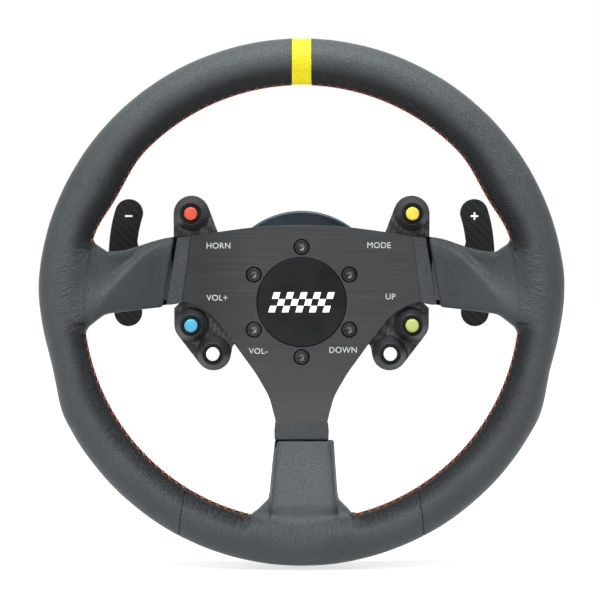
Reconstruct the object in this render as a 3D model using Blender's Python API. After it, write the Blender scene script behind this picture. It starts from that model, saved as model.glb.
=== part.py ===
"""Racing wheel with a button box, shift paddles, a ball-lock quick release and a hub boss.

Lengths are in metres. The steering axis is Y and the origin is the centre of the hub boss's rear face.
"Forward" means towards the driver, which is -Y. +Z is up and +X is the driver's right.
Clock angles run clockwise from the top of the rim, as the driver sees it.
"""

import math

import bmesh
import bpy
from mathutils import Vector

MM = 0.001

# Driving dimensions
RIM_DIAMETER = 330 * MM
RIM_WIDTH = 28.5 * MM  # grip, measured along the radius
RIM_DEPTH = 33 * MM  # grip, measured along the steering axis
BOLT_CIRCLE = 70 * MM  # six bolts hold the wheel to the quick release
FRAME_THICKNESS = 4.5 * MM
FRAME_FRONT = 131 * MM  # forward of the boss's rear face
RIM_MIDDLE = FRAME_FRONT + 18 * MM
LEATHER = 1.2 * MM
GAP = 0.3 * MM
BUTTON_TRAVEL = 1.5 * MM
COLLAR_TRAVEL = 6 * MM

# Rim
RIM_RADIUS = RIM_DIAMETER / 2
HOOP_RADIUS = RIM_RADIUS - RIM_WIDTH / 2
HOOP_TUBE = 5.5 * MM
FOAM_INSET = LEATHER + 0.5 * MM
RIM_STEP = 7.5  # degrees between sections
RIM_STEPS = 48
RIM_SIDES = 8
BORE_SIDES = 6
MARKER_HALF = 2.0  # degrees
LOWER_SEAM = 150.0  # clock angle of the seam on the right; the left one mirrors it
SEAM_HALF = 0.12  # degrees

# Layers, as forward distances
FRAME_BACK = FRAME_FRONT - FRAME_THICKNESS
FRAME_MIDDLE = FRAME_FRONT - FRAME_THICKNESS / 2
PLATE_FRONT = FRAME_BACK - GAP
PLATE_BACK = PLATE_FRONT - 3 * MM
BOX_FRONT = PLATE_BACK - GAP
BOX_BACK = 108.3 * MM
BOX_WALL = 2.2 * MM
FLANGE_FRONT = BOX_BACK - GAP
FLANGE_BACK = FLANGE_FRONT - 5 * MM
BOSS_FRONT = 61 * MM
BASE_BACK = BOSS_FRONT + GAP
BASE_FRONT = BASE_BACK + 9.2 * MM

# Hub boss
BOSS_FLANGE_RADIUS = 57.5 * MM
BOSS_FLANGE_THICKNESS = 16 * MM
BOSS_BODY_RADIUS = 38 * MM
BOSS_LIP_RADIUS = 40.4 * MM
COLUMN_BORE = 9 * MM
NUT_WELL_RADIUS = 17 * MM  # also the bore of the quick release's spigot, so that a socket reaches the nut

# Quick release
BASE_RADIUS = 37 * MM
BASE_SCREW_CIRCLE = 31.8 * MM
SPIGOT_RADIUS = 22 * MM
SPIGOT_FRONT = 96 * MM
HEX_BACK = 86 * MM
SLEEVE_BORE = SPIGOT_RADIUS + GAP
SLEEVE_RADIUS = 27.5 * MM
BALL_RADIUS = 3 * MM
BALL_FORWARD = 80.5 * MM
BALL_CIRCLE = SPIGOT_RADIUS + BALL_RADIUS + 0.5 * MM
COLLAR_BACK = 74.8 * MM
COLLAR_FRONT = FLANGE_BACK - COLLAR_TRAVEL - GAP
COLLAR_BAND = 32 * MM
COLLAR_DISC = 39.5 * MM
SPRING_RADIUS = 29.2 * MM
SPRING_WIRE = 0.7 * MM
SPRING_TURNS = 3

# Buttons: name, side (-1 left, 1 right), distance from the middle, height, colour
BEZEL_RADIUS = 11 * MM
EAR_RADIUS = 11.4 * MM
LOW_EAR_RADIUS = 11.2 * MM
HIGH_BUTTON = (70 * MM, 56.2 * MM)
MIDDLE_BUTTON = (70 * MM, -14.6 * MM)
LOW_BUTTON = (56.2 * MM, -32.7 * MM)
BUTTONS = (
    ("horn", -1, HIGH_BUTTON, (0.85, 0.09, 0.04)),
    ("mode", 1, HIGH_BUTTON, (0.9, 0.8, 0.06)),
    ("volume_up", -1, MIDDLE_BUTTON, (0.1, 0.5, 0.8)),
    ("volume_down", -1, LOW_BUTTON, (0.9, 0.9, 0.9)),
    ("up", 1, MIDDLE_BUTTON, (0.5, 0.75, 0.2)),
    ("down", 1, LOW_BUTTON, (0.9, 0.9, 0.9)),
)

# Paddles, given for the right side
PIVOT_X = 50 * MM
PIVOT_FORWARD = 83.5 * MM
PIVOT_HEIGHT = 12 * MM
PIN_RADIUS = 1.5 * MM
BARREL_RADIUS = 3.6 * MM
BLOCK_HALF_HEIGHT = 16 * MM
ARM_HALF_HEIGHT = 11.5 * MM
ARM_THICKNESS = 4 * MM
BLADE_THICKNESS = 2.5 * MM
BLADE_HALF_WIDTH = 9.4 * MM
BLADE_TIP = Vector((113.8, 56.3)) * MM
BLADE_MIDDLE = Vector((118.2, 27.0)) * MM
BLADE_TAIL = Vector((114.6, -9.3)) * MM

TURN_SEGMENTS = 26
SMALL_SEGMENTS = 12
TINY_SEGMENTS = 8


# Basic tools


def clear_scene():
    for obj in list(bpy.data.objects):
        bpy.data.objects.remove(obj)


def make_material(name, colour, roughness, metallic=0.0):
    material = bpy.data.materials.new(name)
    material.use_nodes = True
    shader = material.node_tree.nodes["Principled BSDF"]
    shader.inputs["Base Color"].default_value = (*colour, 1)
    shader.inputs["Roughness"].default_value = roughness
    shader.inputs["Metallic"].default_value = metallic
    return material


def add_empty(name, place, parent=None):
    """An empty at a joint's axis, in world coordinates. What moves with the joint is parented to it."""
    empty = bpy.data.objects.new(name, None)
    bpy.context.scene.collection.objects.link(empty)
    empty.parent = parent
    parent_place = parent.matrix_world.translation if parent else Vector()
    empty.location = place - parent_place
    bpy.context.view_layer.update()
    return empty


def add_object(name, mesh_builder, material=None, parent=None, smooth_angle=40):
    """Turns a bmesh in world coordinates into an object that hangs on an empty."""
    bmesh.ops.recalc_face_normals(mesh_builder, faces=mesh_builder.faces[:])
    origin = parent.matrix_world.translation.copy() if parent else Vector()
    bmesh.ops.translate(mesh_builder, verts=mesh_builder.verts[:], vec=-origin)
    mesh = bpy.data.meshes.new(name)
    mesh_builder.to_mesh(mesh)
    mesh_builder.free()
    mesh.shade_smooth()
    mesh.set_sharp_from_angle(angle=math.radians(smooth_angle))
    obj = bpy.data.objects.new(name, mesh)
    bpy.context.scene.collection.objects.link(obj)
    obj.parent = parent
    if material:
        obj.data.materials.append(material)
    return obj


def add_boolean(obj, name, mesh_builder, operation="DIFFERENCE"):
    """Cuts obj with, or joins to it, a hidden helper given in world coordinates."""
    helper = add_object(f"{name}_helper", mesh_builder)
    helper.hide_render = True
    helper.display_type = "WIRE"
    modifier = obj.modifiers.new(name, "BOOLEAN")
    modifier.operation = operation
    modifier.solver = "EXACT"
    modifier.object = helper


def at(x, forward, z):
    return Vector((x, -forward, z))


def arc(centre, radius, start, end, count):
    """Points (x, z) on an arc. Angles are degrees from +X towards +Z."""
    angles = (math.radians(start + (end - start) * i / count) for i in range(count + 1))
    return [(centre[0] + radius * math.cos(a), centre[1] + radius * math.sin(a)) for a in angles]


def turned(profile, segments=TURN_SEGMENTS, centre=(0.0, 0.0)):
    """Turns a closed profile of (radius, forward) points about a line along the steering axis."""
    builder = bmesh.new()
    verts = [builder.verts.new((radius, -forward, 0)) for radius, forward in profile]
    edges = [
        builder.edges.new((verts[i - 1], verts[i]))
        for i in range(len(verts))
        if profile[i - 1][0] > 0 or profile[i][0] > 0
    ]
    bmesh.ops.spin(
        builder,
        geom=verts + edges,
        cent=(0, 0, 0),
        axis=(0, 1, 0),
        angle=math.tau,
        steps=segments,
        use_merge=True,
    )
    bmesh.ops.remove_doubles(builder, verts=builder.verts[:], dist=1e-6)
    bmesh.ops.translate(builder, verts=builder.verts[:], vec=(centre[0], 0, centre[1]))
    return builder


def disc(radius, back, front):
    """Profile of a plain cylinder for turned()."""
    return [(0, back), (radius, back), (radius, front), (0, front)]


def prism(outline, back, front):
    """A flat plate with an outline of (x, z) points between two forward distances."""
    builder = bmesh.new()
    rear, face = (
        [builder.verts.new(at(x, forward, z)) for x, z in outline] for forward in (back, front)
    )
    builder.faces.new(rear)
    builder.faces.new(reversed(face))
    for i in range(len(outline)):
        builder.faces.new((rear[i - 1], rear[i], face[i], face[i - 1]))
    return builder


def box(low, high):
    """A box between two corners of (x, forward, z)."""
    outline = [(low[0], low[2]), (high[0], low[2]), (high[0], high[2]), (low[0], high[2])]
    return prism(outline, low[1], high[1])


def merged(builders):
    """Several bmeshes as one, for a helper made of separate bodies."""
    whole = bmesh.new()
    for builder in builders:
        mesh = bpy.data.meshes.new("part_of_helper")
        builder.to_mesh(mesh)
        builder.free()
        whole.from_mesh(mesh)
        bpy.data.meshes.remove(mesh)
    return whole


def loft(loops, closed_round=False):
    """A skin over equal loops of points. It caps both ends, or closes on itself."""
    builder = bmesh.new()
    rings = [[builder.verts.new(point) for point in loop] for loop in loops]
    pairs = list(zip(rings, rings[1:]))
    if closed_round:
        pairs.append((rings[-1], rings[0]))
    for a, b in pairs:
        for i in range(len(a)):
            builder.faces.new((a[i - 1], a[i], b[i], b[i - 1]))
    if not closed_round:
        builder.faces.new(rings[0])
        builder.faces.new(rings[-1])
    return builder


def sleeve(outer_loops, inner_loops):
    """A hollow tube between two sets of equal loops, open at both ends."""
    return loft(
        [*outer_loops, *reversed(inner_loops)],
        closed_round=True,
    )


def bolt_places(radius, start=90):
    """Six (x, z) places on a circle."""
    return arc((0, 0), radius, start, start + 300, 5)


# The rim and its three spokes


def bump(angle, middle, before, after):
    """1 at the middle, falling smoothly to 0 over the two widths, in degrees."""
    away = angle - middle
    share = min(1.0, abs(away) / (before if away < 0 else after))
    return math.cos(share * math.pi / 2) ** 2


def rim_section(clock, inset, sides):
    """Points round the grip at a clock angle. The grip thins outside below the side spokes and swells inside above."""
    from_top = abs((clock + 180) % 360 - 180)
    outer = RIM_RADIUS - 4 * MM * bump(from_top, 104, 22, 13)
    inner = RIM_RADIUS - RIM_WIDTH - 3 * MM * bump(from_top, 60, 15, 12)
    middle, half = (outer + inner) / 2, (outer - inner) / 2 - inset
    depth = RIM_DEPTH / 2 - inset
    return ring_at(clock, middle, half, depth, sides)


def ring_at(clock, middle, half, depth, sides):
    """An ellipse of points that stands across the rim at a clock angle."""
    angle = math.radians(clock)
    points = []
    for i in range(sides):
        turn = math.tau * i / sides
        radius = middle + half * math.cos(turn)
        points.append(
            at(radius * math.sin(angle), RIM_MIDDLE + depth * math.sin(turn), radius * math.cos(angle))
        )
    return points


def rim_stations(start, end):
    """Clock angles of the sections from start to end, on the same steps all round."""
    inside = range(math.floor(start / RIM_STEP), math.ceil(end / RIM_STEP) + 1)
    return [start, *(k * RIM_STEP for k in inside if start < k * RIM_STEP < end), end]


def grip_tube(start, end):
    """The leather's tube between two clock angles."""
    stations = rim_stations(start, end)
    outer = [rim_section(clock, 0, RIM_SIDES) for clock in stations]
    inner = [rim_section(clock, LEATHER, RIM_SIDES) for clock in stations]
    return sleeve(outer, inner)


def spoke_rise(distance, start, end):
    """How far a spoke has come forward at a distance from the steering axis."""
    share = min(1.0, max(0.0, (distance - start) / (end - start)))
    return (RIM_MIDDLE - FRAME_MIDDLE) * share * share * (3 - 2 * share)


SIDE_BEND = (80 * MM, 134 * MM)
LOW_BEND = (89 * MM, 134 * MM)
TONGUE_END = HOOP_RADIUS - HOOP_TUBE - 2 * GAP
ARM_EDGE = 5 * MM  # how far the metal arm stays inside its pad's edge
ARM_STATIONS = (84, 92, 101, 110, 119, 127, 134)  # mm from the middle, where the arm is dished
LOW_ARM_STATIONS = (90.5, 100, 109, 118, 127, 134)


def side_top(x):
    """Height of a side spoke's upper edge at a distance from the middle."""
    share = min(1.0, max(0.0, (x - 80 * MM) / (39 * MM)))
    return 41 * MM - 10.6 * MM * share * share * (3 - 2 * share)


def side_bottom(x):
    return -2.4 * MM - 0.09 * (x - 80 * MM)


def low_half_width(distance):
    """Half the width of the bottom spoke's pad at a distance below the steering axis."""
    return 17.8 * MM + 0.14 * (distance - 88.5 * MM)


def frame_top(x):
    return 46.9 * MM - x * x / (2 * 330 * MM)


def frame_half_outline():
    """The right half of the spoke frame, from the top round to the bottom."""
    top = [(x * MM, frame_top(x * MM)) for x in range(0, 77, 19)]
    arm_top = [(x * MM, side_top(x * MM) - ARM_EDGE) for x in ARM_STATIONS[:-1]]
    tongue = [
        (TONGUE_END * math.cos(a), TONGUE_END * math.sin(a))
        for a in (math.radians(d) for d in (9.8, 6.8, 3.8, 0.8))
    ]
    arm_bottom = [(x * MM, side_bottom(x * MM) + ARM_EDGE) for x in ARM_STATIONS[-2:0:-1]]
    notch = arc((75.5 * MM, -29.3 * MM), 29 * MM, 84, 145, 6)
    neck = arc((67.1 * MM, -80 * MM), 50.8 * MM, 143, 180, 5)
    low_arm = [(16.3 * MM, -87 * MM), (13 * MM, -90.5 * MM)]
    low_arm += [(13 * MM, -z * MM) for z in LOW_ARM_STATIONS[1:-1]]
    low_tongue = [(13 * MM, -math.sqrt(TONGUE_END**2 - (13 * MM) ** 2)), (0, -TONGUE_END)]
    return top + arm_top + tongue + arm_bottom + notch + neck + low_arm + low_tongue


def mirrored(half):
    """A whole outline from its right half, whose first and last points lie on the middle line."""
    return half + [(-x, z) for x, z in half[-2:0:-1]]


def bend_forward(builder):
    """Dishes the three arms towards the driver."""
    for vert in builder.verts:
        side = spoke_rise(abs(vert.co.x), *SIDE_BEND)
        low = spoke_rise(-vert.co.z, *LOW_BEND)
        vert.co.y -= max(side, low)


def cut_across(builder, point, normal):
    bmesh.ops.bisect_plane(
        builder,
        geom=builder.verts[:] + builder.edges[:] + builder.faces[:],
        dist=1e-5,
        plane_co=point,
        plane_no=normal,
    )


def build_spoke_frame(material, parent):
    builder = prism(mirrored(frame_half_outline()), FRAME_BACK, FRAME_FRONT)
    for distance in ARM_STATIONS:
        cut_across(builder, (distance * MM, 0, 0), (1, 0, 0))
        cut_across(builder, (-distance * MM, 0, 0), (1, 0, 0))
    for distance in LOW_ARM_STATIONS:
        cut_across(builder, (0, 0, -distance * MM), (0, 0, 1))
    bend_forward(builder)
    frame = add_object("spoke_frame", builder, material, parent)
    cutters = [turned(disc(27.9 * MM, FRAME_BACK - MM, FRAME_FRONT + MM))]
    seat = [
        (0, FRAME_BACK - MM),
        (2.8 * MM, FRAME_BACK - MM),
        (2.8 * MM, FRAME_FRONT - 2.7 * MM),
        (5.3 * MM, FRAME_FRONT - 0.2 * MM),
        (5.3 * MM, FRAME_FRONT + MM),
        (0, FRAME_FRONT + MM),
    ]
    cutters += [turned(seat, TINY_SEGMENTS, place) for place in bolt_places(BOLT_CIRCLE / 2)]
    add_boolean(frame, "frame_holes", merged(cutters))


def spoke_slots():
    """Cutters for the slots that the three tongues pass through."""
    half = FRAME_THICKNESS / 2 + GAP
    back, front = RIM_MIDDLE - half, RIM_MIDDLE + half
    reach = HOOP_RADIUS - HOOP_TUBE / 2
    slots = [
        box((side * 126 * MM, back, -1.5 * MM), (side * reach, front, 26.2 * MM)) for side in (-1, 1)
    ]
    slots.append(box((-13.6 * MM, back, -reach), (13.6 * MM, front, -126 * MM)))
    return merged(slots)


def build_rim(materials, parent):
    around = [k * RIM_STEP for k in range(RIM_STEPS)]
    hoop = loft(
        [ring_at(clock, HOOP_RADIUS, HOOP_TUBE, HOOP_TUBE, BORE_SIDES) for clock in around],
        closed_round=True,
    )
    add_object("rim_hoop", hoop, materials["steel"], parent)

    foam_skin = loft([rim_section(clock, FOAM_INSET, RIM_SIDES) for clock in around], True)
    foam = add_object("rim_foam", foam_skin, materials["foam"], parent)
    bore = HOOP_TUBE + GAP
    tunnel = loft([ring_at(clock, HOOP_RADIUS, bore, bore, BORE_SIDES) for clock in around], True)
    add_boolean(foam, "hoop_tunnel", tunnel)
    add_boolean(foam, "foam_slots", spoke_slots())

    end = LOWER_SEAM - SEAM_HALF
    start = MARKER_HALF + SEAM_HALF
    pieces = {
        "leather_right": (start, end),
        "leather_left": (360 - end, 360 - start),
        "leather_bottom": (LOWER_SEAM + SEAM_HALF, 360 - LOWER_SEAM - SEAM_HALF),
    }
    for name, (low, high) in pieces.items():
        piece = add_object(name, grip_tube(low, high), materials["leather"], parent)
        add_boolean(piece, f"{name}_slots", spoke_slots())
    add_object("top_marker", grip_tube(-MARKER_HALF, MARKER_HALF), materials["marker"], parent)


def rounded_loop(low, high, middle, half, place):
    """Twelve points round a soft-cornered section. place(across, forward) puts each one in space."""
    across, reach = (low + high) / 2, (high - low) / 2
    corner_across, corner_half = reach - 4 * MM, half * 0.45
    shape = []
    for sign_a, sign_f in ((1, 1), (-1, 1), (-1, -1), (1, -1)):
        tall = (sign_a * reach, sign_f * corner_half)
        soft = (sign_a * (reach - 1.2 * MM), sign_f * (half - 1.4 * MM))
        flat = (sign_a * corner_across, sign_f * half)
        shape += [tall, soft, flat] if sign_a * sign_f > 0 else [flat, soft, tall]
    return [place(across + a, middle + f) for a, f in shape]


def slot_loop(low, high, middle, half, place):
    """Twelve points round a rectangular slot, in step with rounded_loop."""
    shape = []
    for a, f in ((high, half), (low, half), (low, -half), (high, -half)):
        shape += [(a, f)]
    corners = shape
    spread = []
    for i, (a, f) in enumerate(corners):
        before, after = corners[i - 1], corners[(i + 1) % 4]
        spread += [
            ((a * 3 + before[0]) / 4, (f * 3 + before[1]) / 4),
            (a, f),
            ((a * 3 + after[0]) / 4, (f * 3 + after[1]) / 4),
        ]
    return [place(a, middle + f) for a, f in spread]


def build_side_pad(name, side, material, parent):
    """A leather-covered pad round a side spoke, between the brushed frame and the grip."""
    outer, inner = [], []
    slot_half = FRAME_THICKNESS / 2 + GAP
    for k in range(8):
        share = k / 7

        def place(z, forward, share=share):
            near = 80.6 * MM + 0.17 * (41 * MM - z)
            far = math.sqrt((RIM_RADIUS - RIM_WIDTH - 2 * GAP) ** 2 - z * z)
            x = near + (far - near) * share
            return at(side * x, forward + spoke_rise(x, *SIDE_BEND), z)

        x = 83 * MM + (134 * MM - 83 * MM) * share
        top, bottom = side_top(x), side_bottom(x)
        outer.append(rounded_loop(bottom, top, FRAME_MIDDLE, (6.5 + 3.5 * share) * MM, place))
        edge = ARM_EDGE - 1.5 * MM
        inner.append(slot_loop(bottom + edge, top - edge, FRAME_MIDDLE, slot_half + 0.8 * MM, place))
    add_object(name, sleeve(outer, inner), material, parent)


def build_low_pad(material, parent):
    outer, inner = [], []
    slot_half = FRAME_THICKNESS / 2 + GAP
    for k in range(7):
        share = k / 6

        def place(x, forward, share=share):
            near = 88.5 * MM
            far = math.sqrt((RIM_RADIUS - RIM_WIDTH - 2 * GAP) ** 2 - x * x)
            distance = near + (far - near) * share
            return at(x, forward + spoke_rise(distance, *LOW_BEND), -distance)

        half = low_half_width(88.5 * MM + 46 * MM * share)
        outer.append(rounded_loop(-half, half, FRAME_MIDDLE, (6.5 + 3.5 * share) * MM, place))
        slot = 16.9 * MM if k == 0 else 14 * MM
        inner.append(slot_loop(-slot, slot, FRAME_MIDDLE, slot_half + 0.8 * MM, place))
    add_object("spoke_pad_bottom", sleeve(outer, inner), material, parent)


# The button box


def button_plate_outline(inset=0.0):
    """The carbon plate, with an ear for each upper button and a longer one for each lower pair."""
    ear = EAR_RADIUS - inset
    low_ear = LOW_EAR_RADIUS - inset
    edge = HIGH_BUTTON[0] + ear
    half = [(0, 42 * MM - inset), (30 * MM, 41 * MM - inset), (51 * MM + inset, 38 * MM - inset)]
    half += arc(HIGH_BUTTON, ear, 161, 0, 6)
    half += [(edge, 43.5 * MM + inset), (76 * MM - inset, 41 * MM + inset), (76 * MM - inset, 1 * MM)]
    half += [(LOW_EAR_RADIUS + 70 * MM - inset, -4 * MM)]
    half += arc(MIDDLE_BUTTON, low_ear, 0, -37.3, 2)
    half += arc(LOW_BUTTON, low_ear, -37.3, -180, 5)
    half += [(42 * MM - inset, -24 * MM), (24 * MM - inset, -42 * MM + inset), (0, -45 * MM + inset)]
    return mirrored(half)


def button_place(side, spot):
    return (side * spot[0], spot[1])


def button_holes(radius, back, front):
    return [
        turned(disc(radius, back, front), TINY_SEGMENTS, button_place(side, spot))
        for _, side, spot, _ in BUTTONS
    ]


def build_button_plate(material, parent):
    plate = add_object(
        "button_plate", prism(button_plate_outline(), PLATE_BACK, PLATE_FRONT), material, parent
    )
    back, front = PLATE_BACK - MM, PLATE_FRONT + MM
    holes = button_holes(5 * MM, back, front)
    holes += [
        turned(disc(2.8 * MM, back, front), TINY_SEGMENTS, place) for place in bolt_places(BOLT_CIRCLE / 2)
    ]
    holes.append(turned(disc(20 * MM, back, front)))
    add_boolean(plate, "plate_holes", merged(holes))


def build_box_cover(material, parent):
    """The rear cover: a tray with a ring inside that carries the clamping load of the six bolts."""
    cover = add_object(
        "box_rear_cover", prism(button_plate_outline(MM), BOX_BACK, BOX_FRONT), material, parent
    )
    floor = BOX_BACK + BOX_WALL
    pocket = prism(button_plate_outline(MM + BOX_WALL), floor, BOX_FRONT + MM)
    add_boolean(cover, "box_pocket", pocket)
    ring = [
        (24 * MM, BOX_BACK + MM),
        (41.3 * MM, BOX_BACK + MM),
        (41.3 * MM, BOX_FRONT - 0.1 * MM),
        (28 * MM, BOX_FRONT - 0.1 * MM),
        (28 * MM, BOX_BACK + 4.4 * MM),
        (24 * MM, BOX_BACK + 4.4 * MM),
    ]
    add_boolean(cover, "clamp_ring", turned(ring), "UNION")
    holes = [
        turned(disc(2.8 * MM, BOX_BACK - MM, BOX_FRONT + MM), TINY_SEGMENTS, place)
        for place in bolt_places(BOLT_CIRCLE / 2)
    ]
    holes.append(turned(disc(18 * MM, BOX_BACK - MM, floor + MM)))
    add_boolean(cover, "cover_holes", merged(holes))


def build_circuit_board(material, parent):
    back = BOX_BACK + 4.7 * MM
    board = add_object("circuit_board", turned(disc(27.4 * MM, back, back + 1.6 * MM)), material, parent)
    chips = [
        box((-6 * MM, back + MM, -6 * MM), (6 * MM, back + 3 * MM, 6 * MM)),
        box((-16 * MM, back + MM, 9 * MM), (-9 * MM, back + 5 * MM, 13 * MM)),
        box((9 * MM, back + MM, 9 * MM), (16 * MM, back + 5 * MM, 13 * MM)),
        box((-8 * MM, back + MM, -19 * MM), (8 * MM, back + 4 * MM, -14 * MM)),
    ]
    add_boolean(board, "chips", merged(chips), "UNION")


def build_buttons(materials, wheel):
    for name, side, spot, _ in BUTTONS:
        place = button_place(side, spot)
        bezel = [
            (BEZEL_RADIUS, PLATE_FRONT + GAP),
            (BEZEL_RADIUS, PLATE_FRONT + 1.8 * MM),
            (6.5 * MM, PLATE_FRONT + 8.3 * MM),
            (5.1 * MM, PLATE_FRONT + 8.3 * MM),
            (5.1 * MM, PLATE_FRONT + GAP),
        ]
        add_object(f"{name}_bezel", turned(bezel, 16, place), materials["bezel"], wheel)
        switch = [
            (0, PLATE_BACK - 9 * MM),
            (7 * MM, PLATE_BACK - 9 * MM),
            (7 * MM, PLATE_BACK - GAP),
            (4.6 * MM, PLATE_BACK - GAP),
            (4.6 * MM, PLATE_FRONT + 0.8 * MM),
            (0, PLATE_FRONT + 0.8 * MM),
        ]
        add_object(f"{name}_switch", turned(switch, TINY_SEGMENTS, place), materials["plastic"], wheel)
        slide = add_empty(f"{name}_slide", at(place[0], PLATE_FRONT, place[1]), wheel)
        button = [
            (0, PLATE_FRONT + 2.8 * MM),
            (4.35 * MM, PLATE_FRONT + 2.8 * MM),
            (4.35 * MM, PLATE_FRONT + 11.3 * MM),
            (3.7 * MM, PLATE_FRONT + 12 * MM),
            (0, PLATE_FRONT + 12.2 * MM),
        ]
        builder = turned(button, SMALL_SEGMENTS, place)
        add_object(f"{name}_button", builder, materials[f"{name}_colour"], slide)


# Fasteners and the middle of the wheel


def build_wheel_bolts(material, parent):
    head = FRAME_FRONT - 0.3 * MM
    profile = [
        (0, FLANGE_BACK + MM),
        (2.4 * MM, FLANGE_BACK + MM),
        (2.4 * MM, head - 2.5 * MM),
        (4.7 * MM, head),
        (1.75 * MM, head),
        (1.75 * MM, head - 1.8 * MM),
        (0, head - 1.8 * MM),
    ]
    for i, place in enumerate(bolt_places(BOLT_CIRCLE / 2)):
        add_object(f"wheel_bolt_{i + 1}", turned(profile, TINY_SEGMENTS, place), material, parent)


def build_centre_cap(material, parent):
    front = FRAME_FRONT - 0.7 * MM
    profile = [
        (0, PLATE_FRONT - 2 * MM),
        (19.5 * MM, PLATE_FRONT - 2 * MM),
        (19.5 * MM, FRAME_BACK + GAP),
        (27.5 * MM, FRAME_BACK + GAP),
        (27.5 * MM, front),
        (0, front + 0.3 * MM),
    ]
    add_object("centre_cap", turned(profile), material, parent)


# The quick release


def hexagon(radius, back, front):
    return prism(arc((0, 0), radius, 0, 300, 5), back, front)


def build_quick_release_body(material, parent):
    """The wheel's half: a sleeve over the hub's spigot, and a flange for the six bolts."""
    profile = [
        (SLEEVE_BORE, BASE_FRONT + GAP),
        (SLEEVE_RADIUS, BASE_FRONT + GAP),
        (SLEEVE_RADIUS, COLLAR_BACK - 1.5 * MM),
        (SLEEVE_RADIUS - 0.9 * MM, COLLAR_BACK - 1.5 * MM),
        (SLEEVE_RADIUS - 0.9 * MM, COLLAR_BACK - 0.3 * MM),
        (SLEEVE_RADIUS, COLLAR_BACK - 0.3 * MM),
        (SLEEVE_RADIUS, FLANGE_BACK),
        (39 * MM, FLANGE_BACK),
        (39 * MM, FLANGE_FRONT),
        (8 * MM, FLANGE_FRONT),
        (8 * MM, HEX_BACK + MM),
        (SLEEVE_BORE, HEX_BACK + MM),
    ]
    body = add_object("quick_release_body", turned(profile), material, parent)
    cutters = [hexagon(SLEEVE_BORE + 0.1 * MM, HEX_BACK - MM, SPIGOT_FRONT + 1.5 * MM)]
    cutters += [
        turned(disc(2.7 * MM, FLANGE_BACK - MM, FLANGE_FRONT + MM), TINY_SEGMENTS, place)
        for place in bolt_places(BOLT_CIRCLE / 2)
    ]
    add_boolean(body, "body_holes", merged(cutters))
    add_boolean(body, "ball_holes", ball_row(BALL_RADIUS + 0.4 * MM, 20 * MM, 30 * MM))


def ball_row(radius, inner, outer):
    """Six round rods that stand out from the steering axis, as cutters for the ball holes."""
    rods = []
    for x, z in bolt_places(1.0, start=60):
        way = Vector((x, 0, z))
        rod = bmesh.new()
        bmesh.ops.create_cone(
            rod, cap_ends=True, segments=10, radius1=radius, radius2=radius, depth=outer - inner
        )
        turn = Vector((0, 0, 1)).rotation_difference(way).to_matrix().to_4x4()
        bmesh.ops.transform(rod, matrix=turn, verts=rod.verts[:])
        middle = way * ((inner + outer) / 2)
        bmesh.ops.translate(rod, verts=rod.verts[:], vec=middle + at(0, BALL_FORWARD, 0))
        rods.append(rod)
    return merged(rods)


def build_locking_balls(material, parent):
    """Six locking balls on the thin wire ring that spaces them."""
    wire, ring_radius = 0.35 * MM, SLEEVE_RADIUS + 0.7 * MM
    loops = []
    for i in range(TURN_SEGMENTS):
        angle = math.tau * i / TURN_SEGMENTS
        out = Vector((math.cos(angle), 0, math.sin(angle)))
        loops.append(
            [
                out * (ring_radius + wire * math.cos(t)) + at(0, BALL_FORWARD + wire * math.sin(t), 0)
                for t in (math.tau * k / 4 for k in range(4))
            ]
        )
    ring = add_object("locking_balls", loft(loops, True), material, parent)
    balls = []
    for x, z in bolt_places(BALL_CIRCLE, start=60):
        ball = bmesh.new()
        bmesh.ops.create_uvsphere(ball, u_segments=8, v_segments=6, radius=BALL_RADIUS)
        bmesh.ops.translate(ball, verts=ball.verts[:], vec=at(x, BALL_FORWARD, z))
        balls.append(ball)
    add_boolean(ring, "balls", merged(balls), "UNION")


def build_collar(material, parent):
    """The release collar. A disc round its middle gives the fingers their grip."""
    shelf = 88 * MM
    disc_back, disc_front = 86.5 * MM, 89 * MM
    profile = [
        (29.3 * MM, COLLAR_BACK),
        (COLLAR_BAND, COLLAR_BACK),
        (COLLAR_BAND, disc_back),
        (COLLAR_DISC, disc_back),
        (COLLAR_DISC, disc_front),
        (COLLAR_BAND, disc_front),
        (COLLAR_BAND, COLLAR_FRONT),
        (30.5 * MM, COLLAR_FRONT),
        (30.5 * MM, shelf),
        (27.9 * MM, shelf),
        (27.9 * MM, shelf - 2 * MM),
        (29.3 * MM, shelf - 2 * MM),
    ]
    add_object("release_collar", turned(profile), material, parent)


def build_collar_spring(material, parent):
    """The coil that pushes the collar back over the balls."""
    back = 88 * MM + GAP + SPRING_WIRE
    front = FLANGE_BACK - GAP - SPRING_WIRE
    count = 12 * SPRING_TURNS
    loops = []
    for i in range(count + 1):
        share = i / count
        angle = math.tau * SPRING_TURNS * share
        out = Vector((math.cos(angle), 0, math.sin(angle)))
        forward = back + (front - back) * share
        loops.append(
            [
                out * (SPRING_RADIUS + SPRING_WIRE * math.cos(t))
                + at(0, forward + SPRING_WIRE * math.sin(t), 0)
                for t in (math.tau * k / 4 for k in range(4))
            ]
        )
    add_object("collar_spring", loft(loops), material, parent)


def build_snap_ring(material, parent):
    """The split ring that keeps the collar on the sleeve."""
    back, front = COLLAR_BACK - 1.4 * MM, COLLAR_BACK - 0.4 * MM
    outline = arc((0, 0), 30.2 * MM, -72, 252, 27)
    outline += arc((0, 0), SLEEVE_RADIUS - 0.5 * MM, 252, -72, 27)
    add_object("collar_snap_ring", prism(outline, back, front), material, parent)


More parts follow.
